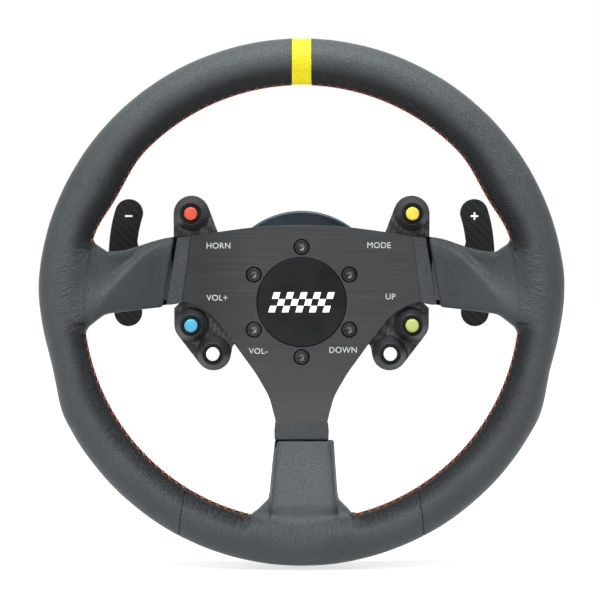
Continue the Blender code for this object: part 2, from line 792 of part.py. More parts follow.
def build_quick_release_base(materials, parent):
    """The hub's half: a flange screwed to the boss, with a grooved spigot that ends in a hexagon."""
    groove = BALL_RADIUS
    profile = [
        (NUT_WELL_RADIUS, BASE_BACK),
        (BASE_RADIUS, BASE_BACK),
        (BASE_RADIUS, BASE_FRONT - 0.8 * MM),
        (BASE_RADIUS - 0.8 * MM, BASE_FRONT),
        (SPIGOT_RADIUS, BASE_FRONT),
        (SPIGOT_RADIUS, BALL_FORWARD - groove),
        (SPIGOT_RADIUS - 1.2 * MM, BALL_FORWARD - 1.5 * MM),
        (SPIGOT_RADIUS - 1.2 * MM, BALL_FORWARD + 1.5 * MM),
        (SPIGOT_RADIUS, BALL_FORWARD + groove),
        (SPIGOT_RADIUS, HEX_BACK - 1.3 * MM),
        (18.4 * MM, HEX_BACK - 1.3 * MM),
        (18.4 * MM, SPIGOT_FRONT - 0.6 * MM),
        (NUT_WELL_RADIUS, SPIGOT_FRONT - 0.6 * MM),
    ]
    base = add_object("quick_release_base", turned(profile), materials["black_metal"], parent)
    hexagonal = hexagon(SPIGOT_RADIUS - 0.2 * MM, HEX_BACK - 2 * MM, SPIGOT_FRONT)
    add_boolean(base, "hex_drive", hexagonal, "UNION")
    holes = [turned(disc(NUT_WELL_RADIUS, BASE_BACK - MM, SPIGOT_FRONT + MM))]
    holes += [
        turned(disc(2.3 * MM, BASE_BACK - MM, BASE_FRONT + MM), TINY_SEGMENTS, place)
        for place in bolt_places(BASE_SCREW_CIRCLE)
    ]
    add_boolean(base, "base_holes", merged(holes))
    screw = [
        (0, BOSS_FRONT - 12 * MM),
        (2.0 * MM, BOSS_FRONT - 12 * MM),
        (2.0 * MM, BASE_FRONT + GAP),
        (3.7 * MM, BASE_FRONT + GAP),
        (3.2 * MM, BASE_FRONT + 2.4 * MM),
        (1.4 * MM, BASE_FRONT + 2.4 * MM),
        (1.4 * MM, BASE_FRONT + 1.2 * MM),
        (0, BASE_FRONT + 1.2 * MM),
    ]
    for i, place in enumerate(bolt_places(BASE_SCREW_CIRCLE)):
        builder = turned(screw, TINY_SEGMENTS, place)
        add_object(f"base_screw_{i + 1}", builder, materials["steel"], parent)


def build_hub_boss(material, parent):
    """The boss that carries the quick release on the steering column, with a wide flange at its rear."""
    flange = BOSS_FLANGE_THICKNESS
    profile = [
        (46 * MM, 0),
        (BOSS_FLANGE_RADIUS, 0),
        (BOSS_FLANGE_RADIUS, flange - MM),
        (BOSS_FLANGE_RADIUS - MM, flange),
        (43.5 * MM, flange),
        (42.5 * MM, flange + 4 * MM),
        (BOSS_BODY_RADIUS, flange + 8 * MM),
        (BOSS_BODY_RADIUS, BOSS_FRONT - 6.5 * MM),
        (BOSS_LIP_RADIUS, BOSS_FRONT - 5.5 * MM),
        (BOSS_LIP_RADIUS, BOSS_FRONT),
        (NUT_WELL_RADIUS, BOSS_FRONT),
        (NUT_WELL_RADIUS, 34 * MM),
        (COLUMN_BORE, 34 * MM),
        (COLUMN_BORE, 10 * MM),
        (46 * MM, 10 * MM),
    ]
    boss = add_object("hub_boss", turned(profile), material, parent)
    holes = [
        turned(disc(2.3 * MM, BOSS_FRONT - 13 * MM, BOSS_FRONT + MM), TINY_SEGMENTS, place)
        for place in bolt_places(BASE_SCREW_CIRCLE)
    ]
    holes += [
        turned(disc(1.8 * MM, -MM, flange + MM), TINY_SEGMENTS, place)
        for place in bolt_places(51.5 * MM, start=75)
    ]
    add_boolean(boss, "boss_holes", merged(holes))
    side_hole = bmesh.new()
    bmesh.ops.create_cone(
        side_hole, cap_ends=True, segments=16, radius1=4 * MM, radius2=4 * MM, depth=12 * MM
    )
    bmesh.ops.translate(side_hole, verts=side_hole.verts[:], vec=at(0, 38 * MM, -38.5 * MM))
    add_boolean(boss, "side_hole", side_hole)


# The paddles


def blade_outline(side):
    """A curved finger with round ends, and an inner lobe that is screwed to the arm."""
    spine = []
    for k in range(9):
        t = k / 8
        middle = 2 * BLADE_MIDDLE - (BLADE_TIP + BLADE_TAIL) / 2
        spine.append((1 - t) ** 2 * BLADE_TIP + 2 * t * (1 - t) * middle + t * t * BLADE_TAIL)
    outer, inner = [], []
    for k, point in enumerate(spine):
        along = (spine[min(k + 1, 8)] - spine[max(k - 1, 0)]).normalized()
        across = Vector((-along.y, along.x)) * BLADE_HALF_WIDTH
        outer.append(point + across)
        inner.append(point - across)
    top = arc(BLADE_TIP, BLADE_HALF_WIDTH, 163, 9, 6)[1:-1]
    tail = arc(BLADE_TAIL, BLADE_HALF_WIDTH, -10, -168, 6)[1:-1]
    lobe = [Vector(p) * MM for p in ((103, 3), (98, 1.5), (76, 1.5), (73, 4.5), (73, 19.5), (76, 22.5))]
    lobe += [Vector(p) * MM for p in ((97, 23.5), (103, 27), (106.2, 33))]
    ring = [Vector(p) for p in top] + outer + [Vector(p) for p in tail]
    ring += [p for p in reversed(inner) if p.y < -2 * MM] + lobe
    ring += [p for p in reversed(inner) if p.y > 37 * MM]
    return [(side * p.x, p.y) for p in ring]


def build_paddle(word, side, materials, wheel):
    pivot_x = side * PIVOT_X
    low, high = PIVOT_HEIGHT - BLOCK_HALF_HEIGHT, PIVOT_HEIGHT + BLOCK_HALF_HEIGHT
    ear_low = PIVOT_HEIGHT - ARM_HALF_HEIGHT - 0.5 * MM
    ear_high = PIVOT_HEIGHT + ARM_HALF_HEIGHT + 0.5 * MM
    block_back, block_front = 88.5 * MM, BOX_BACK - GAP
    block = add_object(
        f"paddle_block_{word}",
        box((side * 45.5 * MM, block_back, low), (side * 62 * MM, block_front, high)),
        materials["plastic"],
        wheel,
    )
    ears = [
        box((side * 46 * MM, PIVOT_FORWARD - 4 * MM, z0), (side * 54 * MM, block_back + MM, z1))
        for z0, z1 in ((low + 0.2 * MM, ear_low), (ear_high, high - 0.2 * MM))
    ]
    add_boolean(block, f"ears_{word}", merged(ears), "UNION")
    add_boolean(block, f"pin_hole_{word}", upright(pivot_x, PIN_RADIUS + 0.15 * MM, low - MM, high + MM))
    pin = upright(pivot_x, PIN_RADIUS, low - 0.4 * MM, high + 0.4 * MM)
    add_object(f"paddle_pin_{word}", pin, materials["steel"], wheel)

    pivot = add_empty(f"paddle_pivot_{word}", at(pivot_x, PIVOT_FORWARD, PIVOT_HEIGHT), wheel)
    arm_low, arm_high = PIVOT_HEIGHT - ARM_HALF_HEIGHT, PIVOT_HEIGHT + ARM_HALF_HEIGHT
    back = PIVOT_FORWARD - ARM_THICKNESS / 2 - 0.3 * MM
    arm = add_object(
        f"paddle_arm_{word}",
        arm_plate(side, back, arm_low, arm_high),
        materials["black_metal"],
        pivot,
    )
    add_boolean(arm, f"barrel_{word}", upright(pivot_x, BARREL_RADIUS, arm_low, arm_high), "UNION")
    bore = upright(pivot_x, PIN_RADIUS + 0.15 * MM, arm_low - MM, arm_high + MM)
    add_boolean(arm, f"arm_bore_{word}", bore)
    blade_front = back - GAP
    blade = prism(blade_outline(side), blade_front - BLADE_THICKNESS, blade_front)
    add_object(f"paddle_blade_{word}", blade, materials["carbon"], pivot)


def arm_plate(side, back, low, high):
    """The flat lever between the pivot barrel and the blade, narrower at its outer end."""
    outline = [
        (51 * MM, low + MM),
        (72 * MM, low + 1.5 * MM),
        (96 * MM, low + 3.5 * MM),
        (99 * MM, low + 6 * MM),
        (99 * MM, high - 6 * MM),
        (96 * MM, high - 3.5 * MM),
        (72 * MM, high - 1.5 * MM),
        (51 * MM, high - MM),
    ]
    return prism([(side * x, z) for x, z in outline], back, back + ARM_THICKNESS)


def upright(x, radius, low, high):
    """A vertical rod on a paddle's pivot line."""
    rod = bmesh.new()
    bmesh.ops.create_cone(
        rod, cap_ends=True, segments=12, radius1=radius, radius2=radius, depth=high - low
    )
    bmesh.ops.translate(rod, verts=rod.verts[:], vec=at(x, PIVOT_FORWARD, (low + high) / 2))
    return rod


def build_data_socket(material, parent):
    """The socket on the box's rear for the lead that programs the electronics."""
    back, front = BOX_BACK - 7.5 * MM, BOX_BACK - GAP
    x, z = 57 * MM, -27 * MM
    low, high = (x - 6.5 * MM, back, z - 4.5 * MM), (x + 6.5 * MM, front, z + 4.5 * MM)
    socket = add_object("data_socket", box(low, high), material, parent)
    well_low = (x - 5 * MM, back - MM, z - 3 * MM)
    well_high = (x + 5 * MM, back + 5.6 * MM, z + 3 * MM)
    add_boolean(socket, "socket_well", box(well_low, well_high))


def make_materials():
    materials = {
        "leather": make_material("leather", (0.035, 0.038, 0.042), 0.55),
        "marker": make_material("marker", (0.85, 0.65, 0.02), 0.5),
        "foam": make_material("foam", (0.12, 0.12, 0.12), 0.9),
        "steel": make_material("steel", (0.55, 0.55, 0.56), 0.35, 1.0),
        "brushed_black": make_material("brushed_black", (0.07, 0.075, 0.08), 0.4, 0.8),
        "black_metal": make_material("black_metal", (0.02, 0.02, 0.022), 0.4, 0.8),
        "boss_grey": make_material("boss_grey", (0.06, 0.075, 0.09), 0.35, 0.6),
        "gold": make_material("gold", (0.85, 0.5, 0.06), 0.3, 1.0),
        "carbon": make_material("carbon", (0.03, 0.03, 0.032), 0.3),
        "plastic": make_material("plastic", (0.025, 0.026, 0.028), 0.5),
        "bezel": make_material("bezel", (0.03, 0.032, 0.035), 0.4, 0.5),
        "cap": make_material("cap", (0.02, 0.02, 0.02), 0.45),
        "board": make_material("board", (0.02, 0.2, 0.06), 0.5),
    }
    for name, _, _, colour in BUTTONS:
        materials[f"{name}_colour"] = make_material(f"{name}_colour", colour, 0.35)
    return materials


def main():
    clear_scene()
    materials = make_materials()
    hub = add_empty("hub", Vector())
    wheel = add_empty("wheel", at(0, BASE_FRONT, 0), hub)
    collar = add_empty("collar", at(0, COLLAR_BACK, 0), wheel)

    build_hub_boss(materials["boss_grey"], hub)
    build_quick_release_base(materials, hub)

    build_quick_release_body(materials["black_metal"], wheel)
    build_locking_balls(materials["steel"], wheel)
    build_snap_ring(materials["steel"], wheel)
    build_collar(materials["gold"], collar)
    build_collar_spring(materials["steel"], collar)

    build_box_cover(materials["plastic"], wheel)
    build_circuit_board(materials["board"], wheel)
    build_data_socket(materials["plastic"], wheel)
    build_button_plate(materials["carbon"], wheel)
    build_buttons(materials, wheel)

    build_spoke_frame(materials["brushed_black"], wheel)
    build_wheel_bolts(materials["black_metal"], wheel)
    build_centre_cap(materials["cap"], wheel)
    build_rim(materials, wheel)
    build_side_pad("spoke_pad_left", -1, materials["leather"], wheel)
    build_side_pad("spoke_pad_right", 1, materials["leather"], wheel)
    build_low_pad(materials["leather"], wheel)

    build_paddle("left", -1, materials, wheel)
    build_paddle("right", 1, materials, wheel)


main()
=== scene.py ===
"""Looks for a leather racing wheel with a button box, shift paddles, a quick release and a column boss.

Points are (x, forward, z) in millimetres: forward is towards the driver, which is -Y in the frame.
Clock angles run clockwise from the top of the rim, as the driver sees it.
"""

import math
import random

import bmesh
import bpy
import numpy as np
from mathutils import Matrix, Vector


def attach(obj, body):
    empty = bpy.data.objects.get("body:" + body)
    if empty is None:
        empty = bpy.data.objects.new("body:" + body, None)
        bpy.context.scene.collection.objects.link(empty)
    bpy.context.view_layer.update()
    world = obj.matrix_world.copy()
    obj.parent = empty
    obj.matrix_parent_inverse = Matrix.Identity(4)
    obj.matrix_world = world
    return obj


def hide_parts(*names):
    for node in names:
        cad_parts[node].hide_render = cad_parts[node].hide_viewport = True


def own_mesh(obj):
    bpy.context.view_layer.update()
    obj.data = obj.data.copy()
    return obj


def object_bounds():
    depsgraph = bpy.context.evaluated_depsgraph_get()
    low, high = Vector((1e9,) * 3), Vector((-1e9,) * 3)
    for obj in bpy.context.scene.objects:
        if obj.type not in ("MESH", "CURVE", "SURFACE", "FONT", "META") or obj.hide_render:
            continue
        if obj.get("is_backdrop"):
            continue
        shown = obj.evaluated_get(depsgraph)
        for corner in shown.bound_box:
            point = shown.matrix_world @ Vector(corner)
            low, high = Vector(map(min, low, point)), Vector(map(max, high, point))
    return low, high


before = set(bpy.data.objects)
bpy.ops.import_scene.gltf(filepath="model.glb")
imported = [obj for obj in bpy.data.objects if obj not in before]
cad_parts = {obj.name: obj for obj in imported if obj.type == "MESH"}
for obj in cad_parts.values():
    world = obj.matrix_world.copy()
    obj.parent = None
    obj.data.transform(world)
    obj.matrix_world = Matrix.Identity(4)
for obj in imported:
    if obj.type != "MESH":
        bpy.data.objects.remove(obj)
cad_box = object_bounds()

MM = 0.001
MATERIALS = {}
scene = bpy.context.scene

# Layers, as forward distances in millimetres
RIM_MIDDLE = 149.0
FRAME_FRONT = 131.0
FRAME_BACK = 126.5
FRAME_MIDDLE = (FRAME_FRONT + FRAME_BACK) / 2
PLATE_FRONT = 126.2
PLATE_BACK = 123.2
BOX_FRONT = 122.9
BOX_BACK = 108.3
FLANGE_BACK = 103.0
BALLS = 80.5
BASE_FRONT = 70.5

RIM_HALF_DEPTH = 16.5
DISH = RIM_MIDDLE - FRAME_MIDDLE  # how far the arms rise to the rim
BAND_HALF = 5.95  # of the yellow band at the top

# Centres of the button plate's ears, as (x, z) of the right half
UPPER_EAR, SIDE_EAR, LOWER_EAR = EARS = ((70.0, 56.2), (70.0, -14.6), (56.2, -32.7))

# Name, side, ear, colour
BUTTONS = (
    ("horn", -1, UPPER_EAR, "red"),
    ("mode", 1, UPPER_EAR, "yellow"),
    ("volume_up", -1, SIDE_EAR, "blue"),
    ("volume_down", -1, LOWER_EAR, "white"),
    ("up", 1, SIDE_EAR, "green"),
    ("down", 1, LOWER_EAR, "white"),
)


class Nodes:
    """A node tree that is built a step at a time."""

    def __init__(self, tree):
        self.tree = tree

    def put(self, socket, value):
        if isinstance(value, bpy.types.NodeSocket):
            self.tree.links.new(value, socket)
        else:
            socket.default_value = value

    def add(self, kind, inputs=None, **settings):
        node = self.tree.nodes.new(kind)
        for key, value in settings.items():
            setattr(node, key, value)
        for key, value in (inputs or {}).items():
            self.put(node.inputs[key], value)
        return node

    def math(self, operation, a, b=0.0):
        return self.add("ShaderNodeMath", {0: a, 1: b}, operation=operation).outputs[0]

    def times(self, a, b):
        return self.math("MULTIPLY", a, b)

    def plus(self, a, b):
        return self.math("ADD", a, b)

    def absolute(self, a):
        return self.math("ABSOLUTE", a)

    def parts(self, place):
        return self.add("ShaderNodeSeparateXYZ", {"Vector": place}).outputs

    def ramp(self, value, low, high, low_to=0.0, high_to=1.0, **settings):
        inputs = {"Value": value, 1: low, 2: high, 3: low_to, 4: high_to}
        return self.add("ShaderNodeMapRange", inputs, **settings).outputs["Result"]


# Camera, floor and light


def add_object(name, data):
    obj = bpy.data.objects.new(name, data)
    scene.collection.objects.link(obj)
    return obj


def point_at(obj, place, aim):
    obj.location = place
    obj.rotation_euler = (Vector(aim) - Vector(place)).to_track_quat("-Z", "Y").to_euler()


def add_camera():
    data = bpy.data.cameras.new("camera")
    data.sensor_width = 36
    data.lens = 116.2
    scene.camera = add_object("camera", data)
    point_at(scene.camera, (0, -1.359, 0.063), (-0.0010, -0.131, 0.0014))


def add_area(name, place, aim, size, power, colour=(1, 1, 1)):
    data = bpy.data.lights.new(name, "AREA")
    data.shape = "RECTANGLE"
    data.size, data.size_y = size
    data.energy = power
    data.color = colour
    point_at(add_object(name, data), place, aim)


def add_studio():
    """A light tent: bright overhead and behind, dim in front and below, and white to the camera all round."""
    world = bpy.data.worlds.new("studio")
    scene.world = world
    world.use_nodes = True
    tent = Nodes(world.node_tree)
    way = tent.parts(tent.add("ShaderNodeTexCoord").outputs["Generated"])
    behind = tent.ramp(way["Y"], -0.1, 0.75, 0.06, 0.85, interpolation_type="SMOOTHSTEP")
    above = tent.ramp(way["Z"], 0.05, 1.0, 0.0, 0.7, interpolation_type="SMOOTHSTEP")
    to_camera = tent.add("ShaderNodeLightPath").outputs["Is Camera Ray"]
    background = tent.tree.nodes["Background"]
    tent.put(background.inputs["Strength"], tent.math("MAXIMUM", tent.plus(behind, above), to_camera))
    tent.put(background.inputs["Color"], (1, 1, 1, 1))
    scene.view_settings.view_transform = "Standard"
    add_area("overhead", (0.02, -0.6, 1.15), (0, -0.1, 0), (1.3, 0.7), 34, (0.95, 0.985, 1.0))
    add_area("left", (-1.25, -0.75, 0.45), (0, -0.1, 0.0), (0.7, 1.3), 4)
    add_area("right", (1.25, -0.75, 0.45), (0, -0.1, 0.0), (0.7, 1.3), 3)
    add_area("front", (-0.7, -1.7, 0.7), (0, -0.1, 0), (0.9, 0.9), 15)

    bpy.ops.mesh.primitive_plane_add(size=6, location=(0, 0, -0.1662))
    floor = bpy.context.active_object
    floor.name = "floor"
    material = bpy.data.materials.new("floor")
    material.use_nodes = True
    shader = material.node_tree.nodes["Principled BSDF"]
    shader.inputs["Base Color"].default_value = (0.4, 0.4, 0.4, 1)
    shader.inputs["Emission Color"].default_value = (1, 1, 1, 1)
    shader.inputs["Emission Strength"].default_value = 0.62
    shader.inputs["Roughness"].default_value = 0.6
    floor.data.materials.append(material)
    floor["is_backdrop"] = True


# Materials


class Surface(Nodes):
    """A material on the standard shader. It is kept in MATERIALS under its name."""

    def __init__(self, name, colour, roughness, metallic=0.0, **sockets):
        material = bpy.data.materials.new(name)
        material.use_nodes = True
        super().__init__(material.node_tree)
        self.place = self.add("ShaderNodeTexCoord").outputs["Object"]
        self.set(Base_Color=(*colour, 1), Roughness=roughness, Metallic=metallic, **sockets)
        MATERIALS[name] = material

    def set(self, **sockets):
        for name, value in sockets.items():
            self.put(self.tree.nodes["Principled BSDF"].inputs[name.replace("_", " ")], value)

    def stretch(self, x, y, z):
        return self.add("ShaderNodeMapping", {"Vector": self.place, "Scale": (x, y, z)}).outputs["Vector"]

    def noise(self, scale, detail=2.0, roughness=0.5, place=None):
        place = self.place if place is None else place
        inputs = {"Vector": place, "Scale": scale, "Detail": detail, "Roughness": roughness}
        return self.add("ShaderNodeTexNoise", inputs).outputs["Fac"]

    def vector(self, operation, a, b):
        return self.add("ShaderNodeVectorMath", {0: a, 1: b}, operation=operation).outputs[0]

    def attribute(self, name):
        return self.add("ShaderNodeAttribute", attribute_name=name).outputs["Fac"]

    def blend(self, factor, dark, light, **settings):
        """A mix of two colours. Each is three numbers or a socket."""
        node = self.add("ShaderNodeMix", {"Factor": factor}, data_type="RGBA", **settings)
        for key, colour in (("A", dark), ("B", light)):
            self.put(node.inputs[key], (*colour, 1) if isinstance(colour, tuple) else colour)
        return node.outputs["Result"]

    def bump(self, height, distance, strength, normal=None):
        inputs = {"Height": height, "Distance": distance, "Strength": strength}
        if normal is not None:
            inputs["Normal"] = normal
        return self.add("ShaderNodeBump", inputs).outputs["Normal"]

    def about_axis(self):
        """The distance from the steering axis, and the three parts of the place."""
        parts = self.parts(self.place)
        squares = [self.times(parts[key], parts[key]) for key in ("X", "Z")]
        return self.math("SQRT", self.plus(*squares)), parts

    def around(self, value, low, high, middle, less, more):
        """A roughness that runs from just below a middle value to just above it."""
        return self.ramp(value, low, high, middle - less, middle + more)


# Creases in the leather: the attribute that weights them, how often they come around the wheel, outwards and
# along its axis, and their depth. Those beside the pads run outwards, those in the webs round the wheel.
CREASES = (("pucker", (95.0, 70.0, 60.0), 0.0006), ("web", (90.0, 420.0, 300.0), 0.0003))


def leather(name, dark, light, roughness, depth=0.0002, creased=False, inner=1.0):
    """Leather with small pebbles and pores, and on the skins the creases and painted shade, mostly on the
    inner side.
    """
    s = Surface(name, dark, roughness, Specular_IOR_Level=0.24)
    bend = s.add("ShaderNodeTexNoise", {"Vector": s.place, "Scale": 420.0, "Detail": 2.0}).outputs["Color"]
    moved = s.vector("ADD", s.place, s.vector("MULTIPLY", bend, (0.0011, 0.0011, 0.0011)))
    cells = s.add("ShaderNodeTexVoronoi", {"Vector": moved, "Scale": 820.0}, feature="DISTANCE_TO_EDGE")
    pebble = s.ramp(cells.outputs["Distance"], 0.0, 0.3)
    broad = s.noise(26.0, 3.0)
    tint = s.plus(s.times(broad, 0.55), s.times(pebble, 0.45))
    colour = s.blend(s.ramp(tint, 0.25, 0.8), dark, light)
    if inner != 1.0:  # painted light: brighter towards the middle of the wheel, where the band's inner side lies in shade
        factor = s.ramp(s.about_axis()[0], 0.139, 0.153, inner, 1.0)
        colour = s.add("ShaderNodeVectorMath", {0: colour, "Scale": factor}, operation="SCALE").outputs[0]
    normal = s.bump(s.plus(pebble, s.times(s.noise(2400.0, 1.0), 0.4)), depth, 0.7)
    if creased:
        # Painted shade: the attribute darkens the colour towards the seam, along the creases and on the pads'
        # faces
        colour = s.blend(s.times(s.attribute("painted_shade"), 0.86), colour, (0.002, 0.002, 0.0025))
        radius, parts = s.about_axis()
        angle = s.math("ARCTAN2", parts["X"], parts["Z"])
        leaning = s.math("SUBTRACT", s.absolute(angle), s.times(s.absolute(parts["X"]), 2.5))
        for key, often, deep in CREASES:
            scaled = [s.times(value, scale) for value, scale in zip((leaning, radius, parts["Y"]), often)]
            lines = s.add("ShaderNodeCombineXYZ", dict(enumerate(scaled))).outputs[0]
            valley = s.absolute(s.math("SUBTRACT", s.noise(1.0, 2.0, 0.6, lines), 0.5))
            normal = s.bump(s.times(s.ramp(valley, 0.0, 0.13), s.attribute(key)), deep, 0.8, normal)
    s.set(Base_Color=colour, Roughness=s.around(broad, 0.3, 0.7, roughness, 0.04, 0.06), Normal=normal)


def brushed(name, dark, light, roughness):
    """Anodised metal, brushed along X, with painted light: a little lighter low down and darker on the left.
    """
    s = Surface(name, dark, roughness, 0.85, Anisotropic=0.5)
    fine = s.noise(1.0, 4.0, 0.75, s.stretch(14.0, 14.0, 2300.0))
    coarse = s.noise(1.0, 3.0, 0.6, s.stretch(6.0, 6.0, 420.0))
    streak = s.plus(s.times(fine, 0.92), s.times(coarse, 0.08))
    parts = s.parts(s.place)
    # Painted light: the tone is lifted low down and darkened on the left
    shade = s.plus(s.ramp(streak, 0.3, 0.7), s.ramp(parts["Z"], -0.03, -0.075, 0.0, 0.5))
    shade = s.plus(shade, s.ramp(parts["X"], -0.03, -0.06, 0.0, -0.5))
    s.set(Base_Color=s.blend(shade, dark, light, clamp_factor=False))
    s.set(Roughness=s.around(streak, 0.35, 0.65, roughness, 0.06, 0.08), Normal=s.bump(fine, 0.00003, 0.3))


def finish_surface(s, cloud, grain, dark, light, roughness, depth, strength):
    """A clouded colour, with a roughness and a bump that follow a finer grain."""
    s.set(Base_Color=s.blend(s.ramp(cloud, 0.3, 0.7), dark, light))
    s.set(Roughness=s.around(grain, 0.3, 0.7, *roughness), Normal=s.bump(grain, depth, strength))


def turned_metal(name, dark, light, roughness, metallic=0.9):
    """Anodised or plain metal with the fine rings that a lathe leaves round the steering axis."""
    s = Surface(name, dark, roughness, metallic)
    radius, parts = s.about_axis()
    rings = s.add("ShaderNodeCombineXYZ", {0: s.times(radius, 2600.0), 1: s.times(parts["Y"], 2600.0)})
    cut = s.noise(1.0, 2.0, 0.6, rings.outputs[0])
    finish_surface(s, s.noise(60.0, 3.0), cut, dark, light, (roughness, 0.06, 0.08), 0.00003, 0.4)


def moulded(name, dark, light, roughness, metallic=0.0, grain=2200.0, depth=0.00004, spec=0.5):
    """Moulded plastic or a powdery coat with a fine spark-eroded grain."""
    s = Surface(name, dark, roughness, metallic, Specular_IOR_Level=spec)
    fine = s.noise(grain, 2.0, 0.6)
    finish_surface(s, s.noise(90.0), fine, dark, light, (roughness, 0.05, 0.06), depth, 0.6)


def paint(name, colour, roughness=0.4, **sockets):
    """A dyed plastic, print or thread with a little unevenness."""
    s = Surface(name, colour, roughness, **sockets)
    cloud = s.noise(700.0, 3.0)
    darker = tuple(c * 0.86 for c in colour)
    finish_surface(s, cloud, cloud, darker, colour, (roughness, 0.05, 0.07), 0.00003, 0.35)


def carbon_twill(name, dark, light, tow):
    """Two-by-two twill under satin lacquer. How its two directions of tow catch the light differently is
    painted into the colour, as is the shade where each tow dips at its edges.
    """
    s = Surface(name, (0.02, 0.02, 0.022), 0.38, Specular_IOR_Level=0.25)
    parts = s.parts(s.place)
    u, v = (s.times(parts[key], 1000.0 / tow) for key in ("X", "Z"))
    step = s.plus(s.math("FLOOR", u), s.math("FLOOR", v))
    warp = s.math("LESS_THAN", s.math("FLOORED_MODULO", step, 4.0), 2.0)
    crown_u, crown_v = (s.math("SINE", s.times(s.math("FRACT", way), math.pi)) for way in (u, v))
    crown = s.add("ShaderNodeMix", {0: warp, 2: crown_v, 3: crown_u}).outputs[0]
    fibres_u = s.noise(1.0, 1.0, place=s.stretch(6500.0, 200.0, 200.0))
    fibres_v = s.noise(1.0, 1.0, place=s.stretch(200.0, 200.0, 6500.0))
    fibre = s.add("ShaderNodeMix", {0: warp, 2: fibres_v, 3: fibres_u}).outputs[0]
    # Painted sheen: warp lighter than weft. Painted shade: each tow darker towards its edges
    shade = s.plus(s.times(warp, 0.5), s.times(fibre, 0.45))
    shade = s.times(shade, s.ramp(crown, 0.0, 0.6, 0.35, 1.0))
    s.set(Base_Color=s.blend(shade, dark, light))
    s.set(Roughness=s.ramp(warp, 0.0, 1.0, 0.46, 0.36), Normal=s.bump(crown, 0.00012, 0.5))


def make_materials():
    leather("leather", (0.0275, 0.0314, 0.0341), (0.0425, 0.0479, 0.0514), 0.42, creased=True)
    leather("leather_strip", (0.025, 0.028, 0.030), (0.046, 0.050, 0.053), 0.42, 0.0003)
    # A darker copy of the leather for the seam's lips: painted shade, to match the inner side of the grip
    leather("leather_seam", (0.007, 0.008, 0.0085), (0.015, 0.016, 0.017), 0.45)
    # The band's inner side is painted lighter, to lift its shade
    leather("marker_leather", (0.412, 0.352, 0.002), (0.472, 0.402, 0.004), 0.5, inner=1.65)
    brushed("brushed_black", (0.041, 0.042, 0.044), (0.074, 0.076, 0.079), 0.48)
    moulded("cap_black", (0.0065, 0.0066, 0.0069), (0.0105, 0.0106, 0.011), 0.34, spec=0.13)
    turned_metal("black_oxide", (0.022, 0.022, 0.023), (0.038, 0.038, 0.040), 0.3, 0.75)
    # A lighter, shinier copy of the oxide for the bolts' socket floors: a painted highlight
    turned_metal("painted_glint_oxide", (0.07, 0.07, 0.074), (0.12, 0.12, 0.124), 0.28, 0.9)
    moulded("bezel_black", (0.013, 0.014, 0.015), (0.0185, 0.0195, 0.021), 0.42, 0.2)
    moulded("box_plastic", (0.017, 0.018, 0.019), (0.025, 0.026, 0.028), 0.52)
    carbon_twill("carbon", (0.005, 0.005, 0.0054), (0.07, 0.0705, 0.0735), 2.7)
    # A finer weave, darker than the plate's carbon; part of that darkness is painted shade, as the paddles
    # sit back in shadow
    carbon_twill("paddle_carbon", (0.0025, 0.0025, 0.0027), (0.019, 0.0192, 0.02), 1.5)
    turned_metal("black_anodised", (0.012, 0.012, 0.013), (0.02, 0.02, 0.022), 0.38, 0.7)
    turned_metal("grey_anodised", (0.021, 0.030, 0.037), (0.031, 0.043, 0.052), 0.36, 0.75)
    turned_metal("gold_anodised", (0.83, 0.45, 0.035), (0.92, 0.54, 0.06), 0.3, 1.0)
    turned_metal("plain_steel", (0.42, 0.42, 0.43), (0.56, 0.56, 0.57), 0.3, 1.0)
    brushed("lever_metal", (0.10, 0.10, 0.105), (0.16, 0.16, 0.165), 0.4)
    paint("white_print", (0.36, 0.37, 0.375), 0.55)
    paint("white_mark", (0.86, 0.86, 0.87), 0.5)
    paint("thread", (0.40, 0.075, 0.03), 0.7)
    paint("button_red", (0.49, 0.05, 0.019), 0.42)
    paint("button_yellow", (0.60, 0.50, 0.036), 0.42)
    paint("button_blue", (0.041, 0.285, 0.425), 0.42)
    paint("button_green", (0.32, 0.385, 0.105), 0.42)
    paint("button_white", (0.80, 0.80, 0.81), 0.42)
    paint("solder_mask", (0.012, 0.13, 0.045), 0.35, Coat_Weight=0.3)
    moulded("foam", (0.05, 0.05, 0.052), (0.08, 0.08, 0.083), 0.9, 0.0, 900.0, 0.0003)
    moulded("rubber", (0.004, 0.004, 0.004), (0.007, 0.007, 0.007), 0.6, spec=0.15)
    # Near black and hardly reflecting: painted shadow for the grooves beside the pads
    moulded("painted_shadow", (0.001, 0.001, 0.001), (0.0018, 0.0018, 0.0018), 0.9, spec=0.03)


# Mesh tools

FLAT = {"angle": 50, "weighted": True}  # how a piece with flat faces is shaded


def smoothstep(low, high, value):
    share = np.clip((value - low) / (high - low), 0, 1)
    return share * share * (3 - 2 * share)


def to_frame(point):
    return (point[0] * MM, -point[1] * MM, point[2] * MM)


def finish_mesh(name, mesh, material, stands_for="", body="wheel", angle=35, weighted=False):
    """Makes a piece of a mesh, in place of the CAD nodes that stands_for names."""
    stands_for = stands_for.split()
    mesh.shade_smooth()
    mesh.set_sharp_from_angle(angle=math.radians(angle))
    obj = add_object(name, mesh)
    mesh.materials.append(MATERIALS[material])
    if weighted:
        modifier = obj.modifiers.new("flat_faces", "WEIGHTED_NORMAL")
        modifier.keep_sharp = True
    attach(obj, body)
    if stands_for:
        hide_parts(*stands_for)
    return obj


def save(name, builder, material, stands_for="", body="wheel", angle=35, weighted=False):
    mesh = bpy.data.meshes.new(name)
    builder.to_mesh(mesh)
    builder.free()
    return finish_mesh(name, mesh, material, stands_for, body, angle, weighted)


def points_builder(points, faces):
    mesh = bpy.data.meshes.new("points")
    mesh.from_pydata([to_frame(p) for p in points], [], faces)
    builder = bmesh.new()
    builder.from_mesh(mesh)
    bpy.data.meshes.remove(mesh)
    return builder


